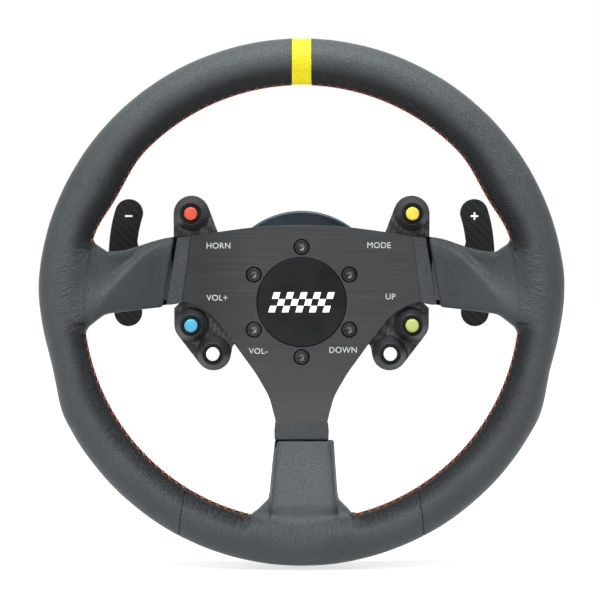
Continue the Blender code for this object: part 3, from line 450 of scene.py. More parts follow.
def from_points(name, points, faces, material, stands_for="", body="wheel", angle=35):
    """A piece from points in millimetres. Faces are turned outwards by the sign of the volume."""
    builder = points_builder(points, faces)
    bmesh.ops.recalc_face_normals(builder, faces=builder.faces[:])
    return save(name, builder, material, stands_for, body, angle)


def grid_faces(first, rows, width, closed=True):
    """Quads between rows of points, where first is the first point's index. A closed row joins its ends."""
    faces = []
    for i in range(rows - 1):
        for k in range(width if closed else width - 1):
            a, b = first + i * width + k, first + i * width + (k + 1) % width
            faces.append((a, b, b + width, a + width))
    return faces


def capped_faces(first, rows, width):
    last = first + (rows - 1) * width
    ends = [tuple(range(first, first + width)), tuple(reversed(range(last, last + width)))]
    return grid_faces(first, rows, width) + ends


def arc(centre, radius, start, end, count):
    """Points on a circle between two angles in degrees."""
    angles = (math.radians(start + (end - start) * i / count) for i in range(count + 1))
    return [(centre[0] + radius * math.cos(a), centre[1] + radius * math.sin(a)) for a in angles]


def circle(radius, count, centre=(0, 0), start=0):
    return arc(centre, radius, start, start + 360 - 360 / count, count - 1)


def spline(points, per=6):
    """A Catmull-Rom curve through the points."""
    ends = [points[0], *points, points[-1]]
    line = []
    for i in range(1, len(ends) - 2):
        a, b, c, d = (np.array(p, float) for p in ends[i - 1 : i + 3])
        for k in range(per):
            t = k / per
            bend = (2 * a - 5 * b + 4 * c - d) * t * t + (3 * b - a - 3 * c + d) * t**3
            line.append(tuple(0.5 * (2 * b + (c - a) * t + bend)))
    line.append(tuple(points[-1]))
    return line


def mirrored(half):
    """A whole outline from its right half. Its first and last points lie on the middle line."""
    return list(half) + [(-x, z) for x, z in half[-2:0:-1]]


def flip(outline, side):
    return [(side * x, z) for x, z in outline]


def box_outline(x, z, half_x, half_z, radius=0.6, steps=3):
    """A rectangle with round corners about a centre."""
    corners = ((1, 1, 0), (-1, 1, 90), (-1, -1, 180), (1, -1, 270))
    outline = []
    for a, b, start in corners:
        centre = (x + a * (half_x - radius), z + b * (half_z - radius))
        outline += arc(centre, radius, start, start + 90, steps)
    return outline


def rounded_profile(profile, radius):
    """Cuts each corner of a closed (radius, forward) profile with a small quarter round."""
    out = []
    count = len(profile)
    for i in range(count):
        before, corner, after = (Vector(profile[(i + k) % count]) for k in (-1, 0, 1))
        a, b = before - corner, after - corner
        cut_back = min(radius, a.length * 0.45, b.length * 0.45)
        straight = abs(a.normalized().dot(b.normalized())) > 0.97
        if corner.x <= 1e-6 or cut_back < 0.02 or straight:
            out.append(tuple(corner))
            continue
        start, end = corner + a.normalized() * cut_back, corner + b.normalized() * cut_back
        for t in (0, 0.33, 0.67, 1):
            out.append(tuple(start * (1 - t) ** 2 + corner * 2 * t * (1 - t) + end * t * t))
    return out


def lathe_builder(profile, segments=96, centre=(0.0, 0.0), corner=0.4):
    """A turned solid from a closed (radius, forward) profile."""
    builder = bmesh.new()
    rings = []
    for radius, forward in rounded_profile(profile, corner):
        around = [(0, 0)] if radius <= 1e-6 else circle(radius, segments)
        ring = [to_frame((centre[0] + x, forward, centre[1] + z)) for x, z in around]
        rings.append([builder.verts.new(place) for place in ring])
    for i in range(len(rings)):
        a, b = rings[i - 1], rings[i]
        for k in range(segments if len(a) + len(b) > 2 else 0):
            n = (k + 1) % segments
            if len(a) == 1:
                builder.faces.new((a[0], b[k], b[n]))
            elif len(b) == 1:
                builder.faces.new((a[k], b[0], a[n]))
            else:
                builder.faces.new((a[k], b[k], b[n], a[n]))
    bmesh.ops.recalc_face_normals(builder, faces=builder.faces[:])
    return builder


def lathe(name, profile, material, stands_for="", segments=96, centre=(0.0, 0.0), corner=0.4, body="wheel"):
    return save(name, lathe_builder(profile, segments, centre, corner), material, stands_for, body)


def ring_profile(inner, outer, back, front):
    return [(inner, back), (outer, back), (outer, front), (inner, front)]


def plate_builder(outline, back, front, holes=(), bevel=0.35, segments=2):
    """A flat plate with holes and rounded edges. back and front are forward distances."""
    builder = bmesh.new()
    edges = []
    for loop in (outline, *holes):
        ring = [builder.verts.new(to_frame((x, back, z))) for x, z in loop]
        edges += [builder.edges.new((ring[i - 1], ring[i])) for i in range(len(ring))]
    bmesh.ops.triangle_fill(builder, edges=edges, use_beauty=True, use_dissolve=False)
    extruded = bmesh.ops.extrude_face_region(builder, geom=builder.faces[:])
    moved = [g for g in extruded["geom"] if isinstance(g, bmesh.types.BMVert)]
    bmesh.ops.translate(builder, verts=moved, vec=(0, -(front - back) * MM, 0))
    bmesh.ops.recalc_face_normals(builder, faces=builder.faces[:])
    if bevel:
        steep = math.radians(60)
        sharp = [e for e in builder.edges if len(e.link_faces) == 2 and e.calc_face_angle() > steep]
        rims = [e for e in sharp if abs(e.verts[0].co.y - e.verts[1].co.y) < 1e-7]
        settings = {"offset": bevel * MM, "segments": segments, "profile": 0.5}
        bmesh.ops.bevel(builder, geom=rims, affect="EDGES", clamp_overlap=True, **settings)
    return builder


def plate(name, outline, back, front, material, stands_for="", holes=(), bevel=0.35, segments=2):
    builder = plate_builder(outline, back, front, holes, bevel, segments)
    return save(name, builder, material, stands_for, **FLAT)


def join(builders):
    """Several meshes as one, without a cut between them."""
    whole = bmesh.new()
    for builder in builders:
        mesh = bpy.data.meshes.new("joined")
        builder.to_mesh(mesh)
        builder.free()
        whole.from_mesh(mesh)
        bpy.data.meshes.remove(mesh)
    return whole


def carve(builder, cutters, operation="DIFFERENCE"):
    """One mesh cut by others."""
    objects = []
    for part in (builder, join(cutters)):
        mesh = bpy.data.meshes.new("carve")
        part.to_mesh(mesh)
        part.free()
        objects.append(add_object("carve", mesh))
    modifier = objects[0].modifiers.new("carve", "BOOLEAN")
    modifier.operation = operation
    modifier.solver = "EXACT"
    modifier.object = objects[1]
    bpy.context.view_layer.update()
    graph = bpy.context.evaluated_depsgraph_get()
    result = bpy.data.meshes.new_from_object(objects[0].evaluated_get(graph))
    carved = bmesh.new()
    carved.from_mesh(result)
    meshes = [result] + [obj.data for obj in objects]
    for obj in objects:
        bpy.data.objects.remove(obj)
    for mesh in meshes:
        bpy.data.meshes.remove(mesh)
    return carved


def rod(radius, start, end, segments=32):
    """A round bar between two points in millimetres."""
    a, b = Vector(to_frame(start)), Vector(to_frame(end))
    builder = bmesh.new()
    size = {"radius1": radius * MM, "radius2": radius * MM, "depth": (b - a).length}
    bmesh.ops.create_cone(builder, cap_ends=True, segments=segments, **size)
    turn = (b - a).to_track_quat("Z", "Y").to_matrix().to_4x4()
    bmesh.ops.transform(builder, matrix=Matrix.Translation((a + b) / 2) @ turn, verts=builder.verts[:])
    return builder


def drills(radius, back, front, places, segments=32):
    """Bars along the steering axis, for holes at each of the places."""
    return [rod(radius, (x, back, z), (x, front, z), segments) for x, z in places]


def tube_faces(points, faces, path, radius, sides=6):
    """Adds a round tube along a path of points to two lists."""
    path = [np.array(p, float) for p in path]
    faces += capped_faces(len(points), len(path), sides)
    for i, point in enumerate(path):
        along = path[min(i + 1, len(path) - 1)] - path[max(i - 1, 0)]
        along /= np.linalg.norm(along)
        helper = np.array((0.0, 1.0, 0.0)) if abs(along[1]) < 0.9 else np.array((1.0, 0.0, 0.0))
        u = np.cross(along, helper)
        u /= np.linalg.norm(u)
        v = np.cross(along, u)
        for k in range(sides):
            angle = math.tau * k / sides
            points.append(tuple(point + radius * (math.cos(angle) * u + math.sin(angle) * v)))


def hexagon_socket(builder, centre, radius, low, high):
    """Pushes the round wall of a screw's socket out to a hexagon."""
    for vert in builder.verts:
        x, f, z = vert.co.x / MM - centre[0], -vert.co.y / MM, vert.co.z / MM - centre[1]
        if low < f < high and abs(math.hypot(x, z) - radius) < 0.25:
            within = (math.atan2(z, x) % (math.pi / 3)) - math.pi / 6
            scale = radius * 0.82 / math.cos(within) / math.hypot(x, z)
            vert.co.x = (centre[0] + x * scale) * MM
            vert.co.z = (centre[1] + z * scale) * MM


def screw_builder(place, under, top, radius):
    """A round-topped screw head with a hexagon socket, from its seat to its top."""
    height, socket = top - under, radius * 0.5
    profile = [(0, under), (radius, under), (radius, top - height * 0.35), (radius * 0.8, top), (socket, top)]
    profile += [(socket, top - height * 0.7), (0, top - height * 0.7)]
    builder = lathe_builder(profile, 36, place, 0.15)
    low, high = sorted((top - height * 0.85, top))
    hexagon_socket(builder, place, socket, low, high + 0.01)
    return builder


def cut(builder, point, normal):
    """Adds a line of edges where a plane crosses the mesh."""
    whole = builder.verts[:] + builder.edges[:] + builder.faces[:]
    bmesh.ops.bisect_plane(builder, geom=whole, dist=1e-6, plane_co=point, plane_no=normal)


# Leather: one field per piece, polygonised and then pulled onto its exact surface

RIM_OUTER = 165.0
RIM_INNER = 136.5
PAD_END = 150.0  # how far out a pad runs, inside the grip
SIDE_RISE = (80, 134)  # between which distances out an arm rises to the rim
LOW_RISE = (89, 134)

# How a side pad's face steps back above a line: distances out, then the line's height, half width and depth
STEP_OUT = (80, 89, 95, 101.5, 107.5, 114, 120, 126.5, 134)
STEP_LINE = (44, 39.8, 36.2, 32, 25.8, 19.8, 14, 10, 8)
STEP_HALF = (5, 4.6, 4.2, 4.4, 5.2, 6, 8, 12.5, 16)
STEP_DEEP = (3, 4.4, 5.2, 5.7, 5.8, 5.8, 6, 6.2, 5.5)

# Where the grip's seam ends at a pad's corner: (x, z) of the right half
KNOTS = ((131.8, 34.2), (135.0, -12.0), (31.8, -131.4))


def right_half(p):
    """Distance from the middle plane, height, and distance from the steering axis."""
    x, z = np.abs(p[:, 0]), p[:, 2]
    return x, z, np.hypot(x, z)


def clock_of(p):
    return np.degrees(np.arctan2(p[:, 0], p[:, 2])) % 360


def bump_at(angle, middle, before, after):
    away = angle - middle
    share = np.clip(np.where(away < 0, -away / before, away / after), 0, 1)
    return np.cos(share * math.pi / 2) ** 2


def rim_section(clock):
    """Middle radius and half width of the grip: thinner below the side spokes, fuller inside above."""
    from_top = np.abs((clock + 180) % 360 - 180)
    outer = RIM_OUTER - 4 * bump_at(from_top, 104, 22, 13)
    inner = RIM_INNER - 3 * bump_at(from_top, 60, 15, 12)
    return (outer + inner) / 2, (outer - inner) / 2


def rim_field(p):
    middle, half = rim_section(clock_of(p))
    a = (np.hypot(p[:, 0], p[:, 2]) - middle) / half
    b = (p[:, 1] - RIM_MIDDLE) / RIM_HALF_DEPTH
    q = np.maximum(np.hypot(a, b), 1e-3)
    return (q - 1) / (np.hypot(a / half, b / RIM_HALF_DEPTH) / q)


def smooth_min(a, b, size):
    share = np.clip(0.5 + 0.5 * (b - a) / size, 0, 1)
    return b * (1 - share) + a * share - size * share * (1 - share)


def smooth_max(a, b, size):
    return -smooth_min(-a, -b, size)


def rise(distance, start, end):
    return DISH * smoothstep(start, end, distance)


def soft_box(a, b, half_a, half_b, power):
    """Rough distance to a superellipse."""
    a, b = np.abs(a) / half_a, np.abs(b) / half_b
    q = np.maximum((a**power + b**power) ** (1 / power), 1e-3)
    slope = np.hypot((a / q) ** (power - 1) / half_a, (b / q) ** (power - 1) / half_b)
    return (q - 1) / np.maximum(slope, 0.01)


def side_pad_field(p):
    """A side pad, and how far inside its upper and lower edges each point is."""
    x, z, radius = right_half(p)
    top = 41.4 - 9.0 * smoothstep(80, 119, x) + 0.7 * np.maximum(x - 122, 0)
    turned = x - 123
    bottom = -2.4 - 0.09 * (x - 80) - 0.36 * (turned + np.sqrt(turned * turned + 5))
    f = p[:, 1] - FRAME_MIDDLE - rise(x, *SIDE_RISE)
    thick = 5.2 + 4.8 * np.clip((x - 80) / 50, 0, 1)
    line, half, deep = (np.interp(x, STEP_OUT, values) for values in (STEP_LINE, STEP_HALF, STEP_DEEP))
    scoop = deep * smoothstep(line - 1.25 * half, line + 0.8 * half, z) ** 1.3
    below = line - half - z
    slope = 0.05 * (below + np.sqrt(below * below + 20))
    scoop = scoop + np.minimum(slope, 2.8) * smoothstep(80, 90, x) * smoothstep(134, 118, x)
    scoop = scoop - 1.9 * smoothstep(top - 8, top - 1.5, z) * smoothstep(96, 112, x)
    front = np.where(f > 0, thick - scoop, thick)
    d = soft_box(z - (top + bottom) / 2, f, (top - bottom) / 2, front, 4.6)
    d = smooth_max(d, 80.7 + 0.17 * (41 - z) - x, 2.2)
    inside = smoothstep(0, 9, np.minimum(top - z, z - bottom))
    return np.maximum(d, radius - PAD_END), inside


def low_pad_field(p):
    """The bottom pad, and how far inside its sides each point is."""
    along = -p[:, 2]
    share = np.clip((along - 88.5) / 45, 0, 1)
    f = p[:, 1] - FRAME_MIDDLE - 0.35 * rise(along, *LOW_RISE) - 0.65 * DISH * share
    x = np.abs(p[:, 0] - 1.7 + 0.6 * share)
    thick = 4.9 + 5.1 * share - 1.5 * smoothstep(0.82, 0.98, share)
    back = np.clip((thick - f) / 2 / thick, 0, 1)
    half = 15.6 + 4.9 * share + (3.9 - 1.2 * share) * back**0.6
    d = soft_box(x, f, half, thick, 7)
    gusset = soft_box(x, f + 1.5, half + 1.0 * np.maximum(along - 123.5, 0), thick - 2.2, 4)
    d = smooth_min(d, np.maximum(gusset, 122 - along), 1.5)
    d = smooth_max(d, 88.5 - along, 1.6)
    inside = smoothstep(0, 9, half - x)
    return np.maximum(d, np.hypot(p[:, 0], p[:, 2]) - PAD_END), inside


def leather_field(kind):
    """The field of one leather piece, with the grip's ends cut at the joints."""
    joint = 209.8

    def field(p):
        clock = clock_of(p)
        radius = np.hypot(p[:, 0], p[:, 2])
        from_top = np.where(clock > 180, clock, 360 - clock)
        leaning = (from_top + 0.157 * (radius - 151) - joint) * radius * math.pi / 180
        pad, inside = (low_pad_field if kind == "bottom" else side_pad_field)(p)
        d = smooth_min(rim_field(p), pad, 3.5 + 6.5 * inside)
        if kind == "bottom":
            return smooth_max(d, leaning + 0.1, 0.5)
        d = smooth_max(d, 0.1 - leaning, 0.5)
        return np.where(p[:, 2] > 0, smooth_max(d, BAND_HALF + 0.06 - np.abs(p[:, 0]), 0.3), d)

    return field


def gradient(field, p):
    h = 0.04
    parts = []
    for axis in range(3):
        step = np.zeros(3)
        step[axis] = h
        parts.append((field(p + step) - field(p - step)) / (2 * h))
    return np.stack(parts, axis=1)


def pull_onto(field, p, rounds):
    for _ in range(rounds):
        slope = gradient(field, p)
        length2 = np.maximum((slope**2).sum(axis=1), 0.05)
        move = np.clip(field(p) / length2, -1.2, 1.2)
        p = p - slope * move[:, None]
    return p


def grid_values(field, axes, step):
    """The field on a grid, worked out closely only where a coarse grid says that the surface is near."""
    coarse = 5
    sparse = [np.append(axis[::coarse], axis[-1] + coarse * step) for axis in axes]
    y, z = np.meshgrid(sparse[1], sparse[2], indexing="ij")
    rough = np.stack([field(np.stack((np.full(y.size, x), y.ravel(), z.ravel()), axis=1)) for x in sparse[0]])
    rough = rough.reshape([len(axis) for axis in sparse]).astype(np.float32)
    index = [np.round(np.arange(len(axis)) / coarse).astype(int) for axis in axes]
    values = rough[np.ix_(*index)]
    near = np.abs(values) < coarse * step * 2.5
    y, z = np.meshgrid(axes[1], axes[2], indexing="ij")
    for i, x in enumerate(axes[0]):
        pick = near[i]
        if pick.any():
            values[i][pick] = field(np.stack((np.full(pick.sum(), x), y[pick], z[pick]), axis=1))
    return values


def surface_net(field, low, high, step):
    """Polygonises the zero surface of a field on a grid, as quads with one point per crossed cell."""
    axes = [np.arange(a, b + step, step) for a, b in zip(low, high)]
    shape = tuple(len(a) for a in axes)
    inside = grid_values(field, axes, step) < 0
    count = np.zeros(tuple(s - 1 for s in shape), dtype=np.int8)
    for dx, dy, dz in np.ndindex(2, 2, 2):
        count += inside[dx : shape[0] - 1 + dx, dy : shape[1] - 1 + dy, dz : shape[2] - 1 + dz]
    crossed = (count > 0) & (count < 8)
    index = -np.ones(crossed.shape, dtype=np.int64)
    cells = np.argwhere(crossed)
    index[crossed] = np.arange(len(cells))
    points = np.stack([axes[k][cells[:, k]] + step / 2 for k in range(3)], axis=1)
    quads = []
    for axis in range(3):
        near = [slice(1, -1)] * 3
        near[axis] = slice(0, -1)
        far = list(near)
        far[axis] = slice(1, None)
        change = inside[tuple(near)] != inside[tuple(far)]
        leaving = inside[tuple(near)][change]
        offset = np.ones(3, dtype=np.int64)
        offset[axis] = 0
        place = np.argwhere(change) + offset
        u, v = [k for k in range(3) if k != axis]
        corners = []
        for du, dv in ((0, 0), (1, 0), (1, 1), (0, 1)):
            cell = place.copy()
            cell[:, u] -= du
            cell[:, v] -= dv
            corners.append(index[cell[:, 0], cell[:, 1], cell[:, 2]])
        quad = np.stack(corners, axis=1)
        turn = leaving if axis != 1 else ~leaving
        quad[turn] = quad[turn][:, ::-1]
        quads.append(quad)
    return points, np.concatenate(quads)


def relax(points, quads, field, rounds):
    """Evens out the points along the surface."""
    pairs = np.concatenate([quads[:, [k, (k + 1) % 4]] for k in range(4)])
    here, there = np.concatenate((pairs, pairs[:, ::-1])).T
    count = len(points)
    total = np.bincount(here, minlength=count).astype(float)
    for _ in range(rounds):
        sums = [np.bincount(here, weights=points[there, k], minlength=count) for k in range(3)]
        mean = np.stack(sums, axis=1) / total[:, None]
        points = pull_onto(field, points * 0.5 + mean * 0.5, 1)
    return points


def waves(p, seed, size, count=7):
    """Smooth noise between about -1 and 1, from a few plane waves in fixed random directions."""
    local = random.Random(seed)
    total = np.zeros(len(p))
    for _ in range(count):
        way = np.array([local.gauss(0, 1) for _ in range(3)])
        way *= math.tau / size / np.linalg.norm(way) * local.uniform(0.6, 1.5)
        total += np.sin(p @ way + local.uniform(0, math.tau))
    return total / math.sqrt(count)


def folds(around, inwards, seed, pitch, count=6):
    """Valleys that run inwards, with rounded ridges between them. From -1 in a valley to 0."""
    local = random.Random(seed)
    total = np.zeros(len(around))
    for _ in range(count):
        phase = around * math.tau / pitch * local.uniform(0.65, 1.4)
        phase += inwards * math.tau / pitch * local.uniform(-0.24, 0.24)
        total += np.sin(phase + local.uniform(0, math.tau))
    return -np.exp(-((total / math.sqrt(count) / 0.5) ** 2))


def gather(p):
    """How strongly the leather is gathered: most beside the pads, and a little all along the seam."""
    x, z, radius = right_half(p)
    seam = smoothstep(150, 143, radius) * smoothstep(135, 138, radius)
    beside_side = np.exp(-(((z - 11) / 27) ** 4)) * (x > 90)
    beside_low = np.exp(-((x / 40) ** 4)) * (z < -90) * (0.3 + 0.3 * smoothstep(8, 26, x))
    pads = np.maximum(beside_side, beside_low) * smoothstep(157, 146, radius) * smoothstep(135.5, 141, radius)
    return np.maximum(0.42 * seam, pads)


def web(p):
    """How strongly the leather of a side pad is creased where it turns up into the grip."""
    x, z, radius = right_half(p)
    line = np.interp(x, STEP_OUT, STEP_LINE)
    return smoothstep(108, 117, x) * smoothstep(line - 7, line + 2, z) * smoothstep(136.5, 133, radius)


def from_knots(p):
    """For each knot, how far outwards and how far sideways from it the points are."""
    x, z, _ = right_half(p)
    for knot_x, knot_z in KNOTS:
        away_x, away_z, reach = x - knot_x, z - knot_z, math.hypot(knot_x, knot_z)
        yield (away_x * knot_x + away_z * knot_z) / reach, (away_x * knot_z - away_z * knot_x) / reach


def crease(out, side, width):
    """The curved crease that runs on from the seam at a knot."""
    line = np.exp(-(((side - 0.012 * out * out) / width) ** 2))
    return line * smoothstep(-3, 0, out) * smoothstep(10, 4, out)


def painted_shade(p):
    """Painted shade on the leather: darker where it turns in to the seam, clear of the pads, along the
    creases and at the knots, and on the side pads' faces below the step.
    """
    x, z, radius = right_half(p)
    clock = clock_of(p)
    middle, rim_half = rim_section(clock)
    beside_side = smoothstep(43, 26, z) * smoothstep(-20, -4, z) * (x > 90)
    beside_low = smoothstep(38, 32, x) * (z < -90)
    clear = 1 - np.maximum(beside_side, beside_low)
    low = smoothstep(110, 140, np.abs((clock + 180) % 360 - 180))
    # Painted shade towards the seam on the inside of the grip, starting further in low on the wheel
    shade = smoothstep(-0.02 - 0.24 * low, -0.62 - 0.08 * low, (radius - middle) / rim_half)
    shade = shade * clear * smoothstep(132, 135, radius)
    # Painted shade along the crease that runs on from each knot, and in the dimple at the knot
    for out, side in from_knots(p):
        shade = np.maximum(shade, 0.8 * crease(out, side, 1.0))
        shade = np.maximum(shade, 0.95 * np.exp(-(((out - 0.5) / 2.2) ** 2) - (side / 1.6) ** 2))
    # Painted shade on each side pad's flat face below the step, towards its inner end
    line, half = np.interp(x, STEP_OUT, STEP_LINE), np.interp(x, STEP_OUT, STEP_HALF)
    flat = smoothstep(-1, -7, z - line + half) * smoothstep(106, 92, x) * (np.abs(z) < 60)
    return np.maximum(shade, 0.24 * flat)


def relief(p):
    """How far the leather rises above its smooth shape."""
    x, z, radius = right_half(p)
    around = np.arctan2(p[:, 0], z) * 148
    height = gather(p) * (folds(around, radius, 3, 5.0) * 0.2 + folds(around, radius, 5, 9.0) * 0.16)
    height = height * (0.55 + 0.45 * waves(p, 11, 60))
    height += waves(p, 17, 24) * 0.06 + waves(p, 23, 11) * 0.03
    # The grip's leather laps over the pads
    on_pad = ((z > -14) & (z < 36) & (x > 100)) | ((x < 33) & (z < -100))
    height += on_pad * 0.4 * smoothstep(133.5, 136.8, radius) * (1 - smoothstep(137, 150, radius))
    height += on_pad * 0.16 * np.exp(-((radius - 136) ** 2))
    height -= 0.5 * (z < -100) * np.exp(-(((radius - 133.2) / 1.8) ** 2)) * (x < 24)
    # Folds that leave each knot, the crease that runs on from the seam, and the dimple round the knot
    for out, side in from_knots(p):
        fan = np.arctan2(side, np.maximum(out, 0.5))
        distance = np.hypot(out, side)
        height -= 0.55 * np.exp(-((fan / 0.16) ** 2) - ((out - 4) / 5.5) ** 2)
        height += 0.3 * np.cos(fan * 13) * np.exp(-((distance / 7.5) ** 2)) * (out > -1)
        height -= 0.6 * crease(out, side, 0.9)
        height -= 0.5 * np.exp(-((distance / 1.7) ** 2))
    return height


def build_leather():
    step = 0.85
    pieces = {
        "left": ((-168, 118, -150), (-3, 168, 168), "leather_left spoke_pad_left"),
        "right": ((3, 118, -150), (168, 168, 168), "leather_right spoke_pad_right"),
        "bottom": ((-90, 118, -168), (90, 168, -84), "leather_bottom spoke_pad_bottom"),
    }
    for kind, (low, high, stands_for) in pieces.items():
        field = leather_field(kind)
        points, quads = surface_net(field, low, high, step)
        points = pull_onto(field, points, 2)
        points = relax(points, quads, field, 2)
        slope = gradient(field, points)
        slope /= np.linalg.norm(slope, axis=1)[:, None]
        weight, shade = gather(points), painted_shade(points)
        points = points + slope * relief(points)[:, None]
        name = f"leather_skin_{kind}"
        mesh = bpy.data.meshes.new(name)
        world = np.stack((points[:, 0], -points[:, 1], points[:, 2]), axis=1) * MM
        mesh.from_pydata(world.tolist(), [], quads.tolist())
        mesh.update()
        for key, values in (("pucker", weight), ("web", web(points)), ("painted_shade", shade)):
            mesh.attributes.new(key, "FLOAT", "POINT").data.foreach_set("value", values.astype(np.float32))
        obj = finish_mesh(name, mesh, "leather", stands_for, angle=60)


def rim_point(clock, turn, lift=0.0):
    """A point on the grip's surface at a clock angle and an angle round the section, both in degrees."""
    middle, half = (float(v) for v in rim_section(np.array(clock)))
    a, c = math.radians(turn), math.radians(clock)
    normal = Vector((math.cos(a) / half, math.sin(a) / RIM_HALF_DEPTH)).normalized()
    radius = middle + half * math.cos(a) + normal.x * lift
    forward = RIM_MIDDLE + RIM_HALF_DEPTH * math.sin(a) + normal.y * lift
    return (radius * math.sin(c), forward, radius * math.cos(c))


# The seam: its angle round the section, just on the driver's side of the innermost line, and its runs
SEAM_TURN = 167.0
SEAM_TURN_PER_MM = math.degrees(1 / 15.2)
SEAM_CLOCK_PER_MM = math.degrees(1 / 137)
STITCH = 5.4
SEAM_RUNS = ((2.6, 75.4), (95.2, 149.6), (150.6, 166.3), (193.7, 209.4), (210.4, 264.8), (284.6, 357.4))


def seam_point(clock, across, height):
    return rim_point(clock, SEAM_TURN + across * SEAM_TURN_PER_MM, height)


def stitch_paths(start, count, pitch):
    """The thread's path over one lip and back over the other, stitch by stitch."""
    for i in range(count):
        for near, far, v0, v1 in ((0.0, 0.5, -1.35, 1.35), (0.5, 1.0, 1.35, -1.35)):
            path = []
            for t in (0, 0.12, 0.3, 0.5, 0.7, 0.88, 1):
                clock = start + (i + near + (far - near) * t) * pitch
                height = 0.15 + 0.62 * math.sin(math.pi * min(max(t, 0.03), 0.97)) ** 0.5
                path.append(seam_point(clock, v0 + (v1 - v0) * t, height))
            yield path


def build_seams():
    """The stitched seam round the inside of the grip: two rolled lips, with thread crossing between them."""
    thread_points, thread_faces = [], []
    lip_points, lip_faces = [], []
    across = [-3.0, -2.5, -2.0, -1.5, -1.0, -0.55, -0.2, 0.2, 0.55, 1.0, 1.5, 2.0, 2.5, 3.0]
    for start, end in SEAM_RUNS:
        count = round((end - start) / SEAM_CLOCK_PER_MM / STITCH)
        pitch = (end - start) / count
        steps = count * 10
        lip_faces += grid_faces(len(lip_points), steps + 1, len(across), closed=False)
        for i in range(steps + 1):
            clock = start + (end - start) * i / steps
            phase = (clock - start) / pitch
            for v in across:
                side = 0.0 if v < 0 else 0.5
                pinch = math.cos(math.pi * (phase + side)) ** 2
                lip = math.sin(math.pi * min(1, max(0, (abs(v) - 0.1) / 2.7))) ** 0.8
                height = -0.12 + lip * (0.42 + 0.5 * (1 - pinch)) if abs(v) < 2.9 else -0.3
                lip_points.append(seam_point(clock, v, height))
        for path in stitch_paths(start, count, pitch):
            tube_faces(thread_points, thread_faces, path, 0.3, 5)
    obj = from_points("seam_lips", lip_points, lip_faces, "leather_seam", angle=80)
    thickness = obj.modifiers.new("thickness", "SOLIDIFY")
    thickness.thickness = 0.5 * MM
    thickness.offset = -1
    from_points("seam_thread", thread_points, thread_faces, "thread", angle=80)


def build_marker():
    """The yellow band at the top, with parallel edges, in line with the leather beside it."""
    sides, steps = 96, 16
    points = []
    for i in range(steps + 1):
        share = i / steps * 2 - 1
        lift = 0.05 - 0.3 * max(0.0, abs(share) - 0.9) / 0.1
        for k in range(sides):
            turn = 360 * k / sides
            radius = rim_point(0, turn)[2]
            clock = math.degrees(math.asin(share * BAND_HALF / radius))
            points.append(rim_point(clock, turn, lift))
    band = from_points("top_band", points, capped_faces(0, steps + 1, sides), "marker_leather", "top_marker")


# The spoke frame and what is on it

BOLTS = circle(35, 6, start=90)
SIDE_BENDS = (84, 92, 101, 110, 119, 127, 134)  # the steps in which an arm rises
LOW_BENDS = (90.5, 100, 109, 118, 127, 134)


def frame_outline():
    top = spline([(0, 49.0), (26, 47.9), (52, 44.7), (70, 41.8), (77, 40.5), (81, 39.6)], 5)
    arm = [(86, 37.5), (92, 34.2), (101, 30.6), (110, 27.0), (119, 25.5), (127, 25.4), (134, 25.2)]
    arm += [(142.6, 24.4), (143.6, 17), (144.3, 9), (144.5, 2)]
    arm += [(134, -0.8), (127, -1.6), (119, -0.9), (110, -0.1), (101, 0.7), (92, 1.5), (84, 1.4)]
    side = [(77.1, 0.6), (72.3, -0.2), (67.2, -2.1), (62, -4.9), (57.4, -8.1), (54, -11.7), (50.8, -15.8)]
    side += [(44.2, -24.5), (37, -34.5), (30, -44.2), (26.4, -50.1), (21, -60), (18.3, -69), (16.5, -77)]
    side = spline(side + [(16.3, -86)], 5)
    low = [(13, -z) for z in LOW_BENDS] + [(12.5, -143.8), (0, -144.4)]
    return top + arm + side + low


def build_frame():
    """A flat plate with lines of edges across its arms, along which they bend up to the rim."""
    holes = [circle(28.7, 96)] + [circle(5.2, 32, c) for c in BOLTS]
    builder = plate_builder(mirrored(frame_outline()), FRAME_BACK, FRAME_FRONT, holes, 0.45)
    for x in SIDE_BENDS:
        for side in (-1, 1):
            cut(builder, (side * x * MM, 0, 0), (1, 0, 0))
    for z in LOW_BENDS:
        cut(builder, (0, 0, -z * MM), (0, 0, 1))
    for vert in builder.verts:
        across, down = abs(vert.co.x) / MM, -vert.co.z / MM
        vert.co.y -= max(float(rise(across, *SIDE_RISE)), float(rise(down, *LOW_RISE))) * MM
    save("frame_plate", builder, "brushed_black", "spoke_frame", **FLAT)


def build_bolts():
    """Countersunk seats, and bolts with a hexagon socket whose conical floor is a lighter, shinier copy of
    the oxide: it catches the overhead lamp, and its lighter metal is a painted highlight.
    """
    back, head = FLANGE_BACK + 1, FRAME_FRONT - 0.35
    floor = FRAME_BACK + 0.4
    seat = [(5.15, FRAME_FRONT - 0.5), (5.15, floor), (2.6, floor), (4.75, FRAME_FRONT - 1.3)]
    bolt = [(2.35, back), (2.35, head - 2.2), (4.45, head - 0.35), (4.1, head), (2.35, head)]
    bolt += [(2.3, head - 0.4), (2.3, head - 1.9), (0, head - 3.6), (0, back)]
    cone = [(2.15, head - 1.7), (2.15, head - 1.85), (0, head - 3.35), (0, head - 3.2)]
    floors = []
    for i, place in enumerate(BOLTS, 1):
        lathe(f"bolt_seat_{i}", seat, "black_oxide", "", 40, place, 0.1)
        builder = lathe_builder(bolt, 48, place, 0.18)
        hexagon_socket(builder, place, 2.3, head - 2.1, head - 0.3)
        save(f"bolt_{i}", builder, "black_oxide", f"wheel_bolt_{i}")
        floors.append(lathe_builder(cone, 32, place, 0.05))
    save("bolt_floors", join(floors), "painted_glint_oxide")


def wrap(name, outline, proud, material, bevel, segments=3):
    """A thin layer round the frame that stands proud of it at the front and the back."""
    plate(name, outline, FRAME_BACK - proud, FRAME_FRONT + proud, material, bevel=bevel, segments=segments)


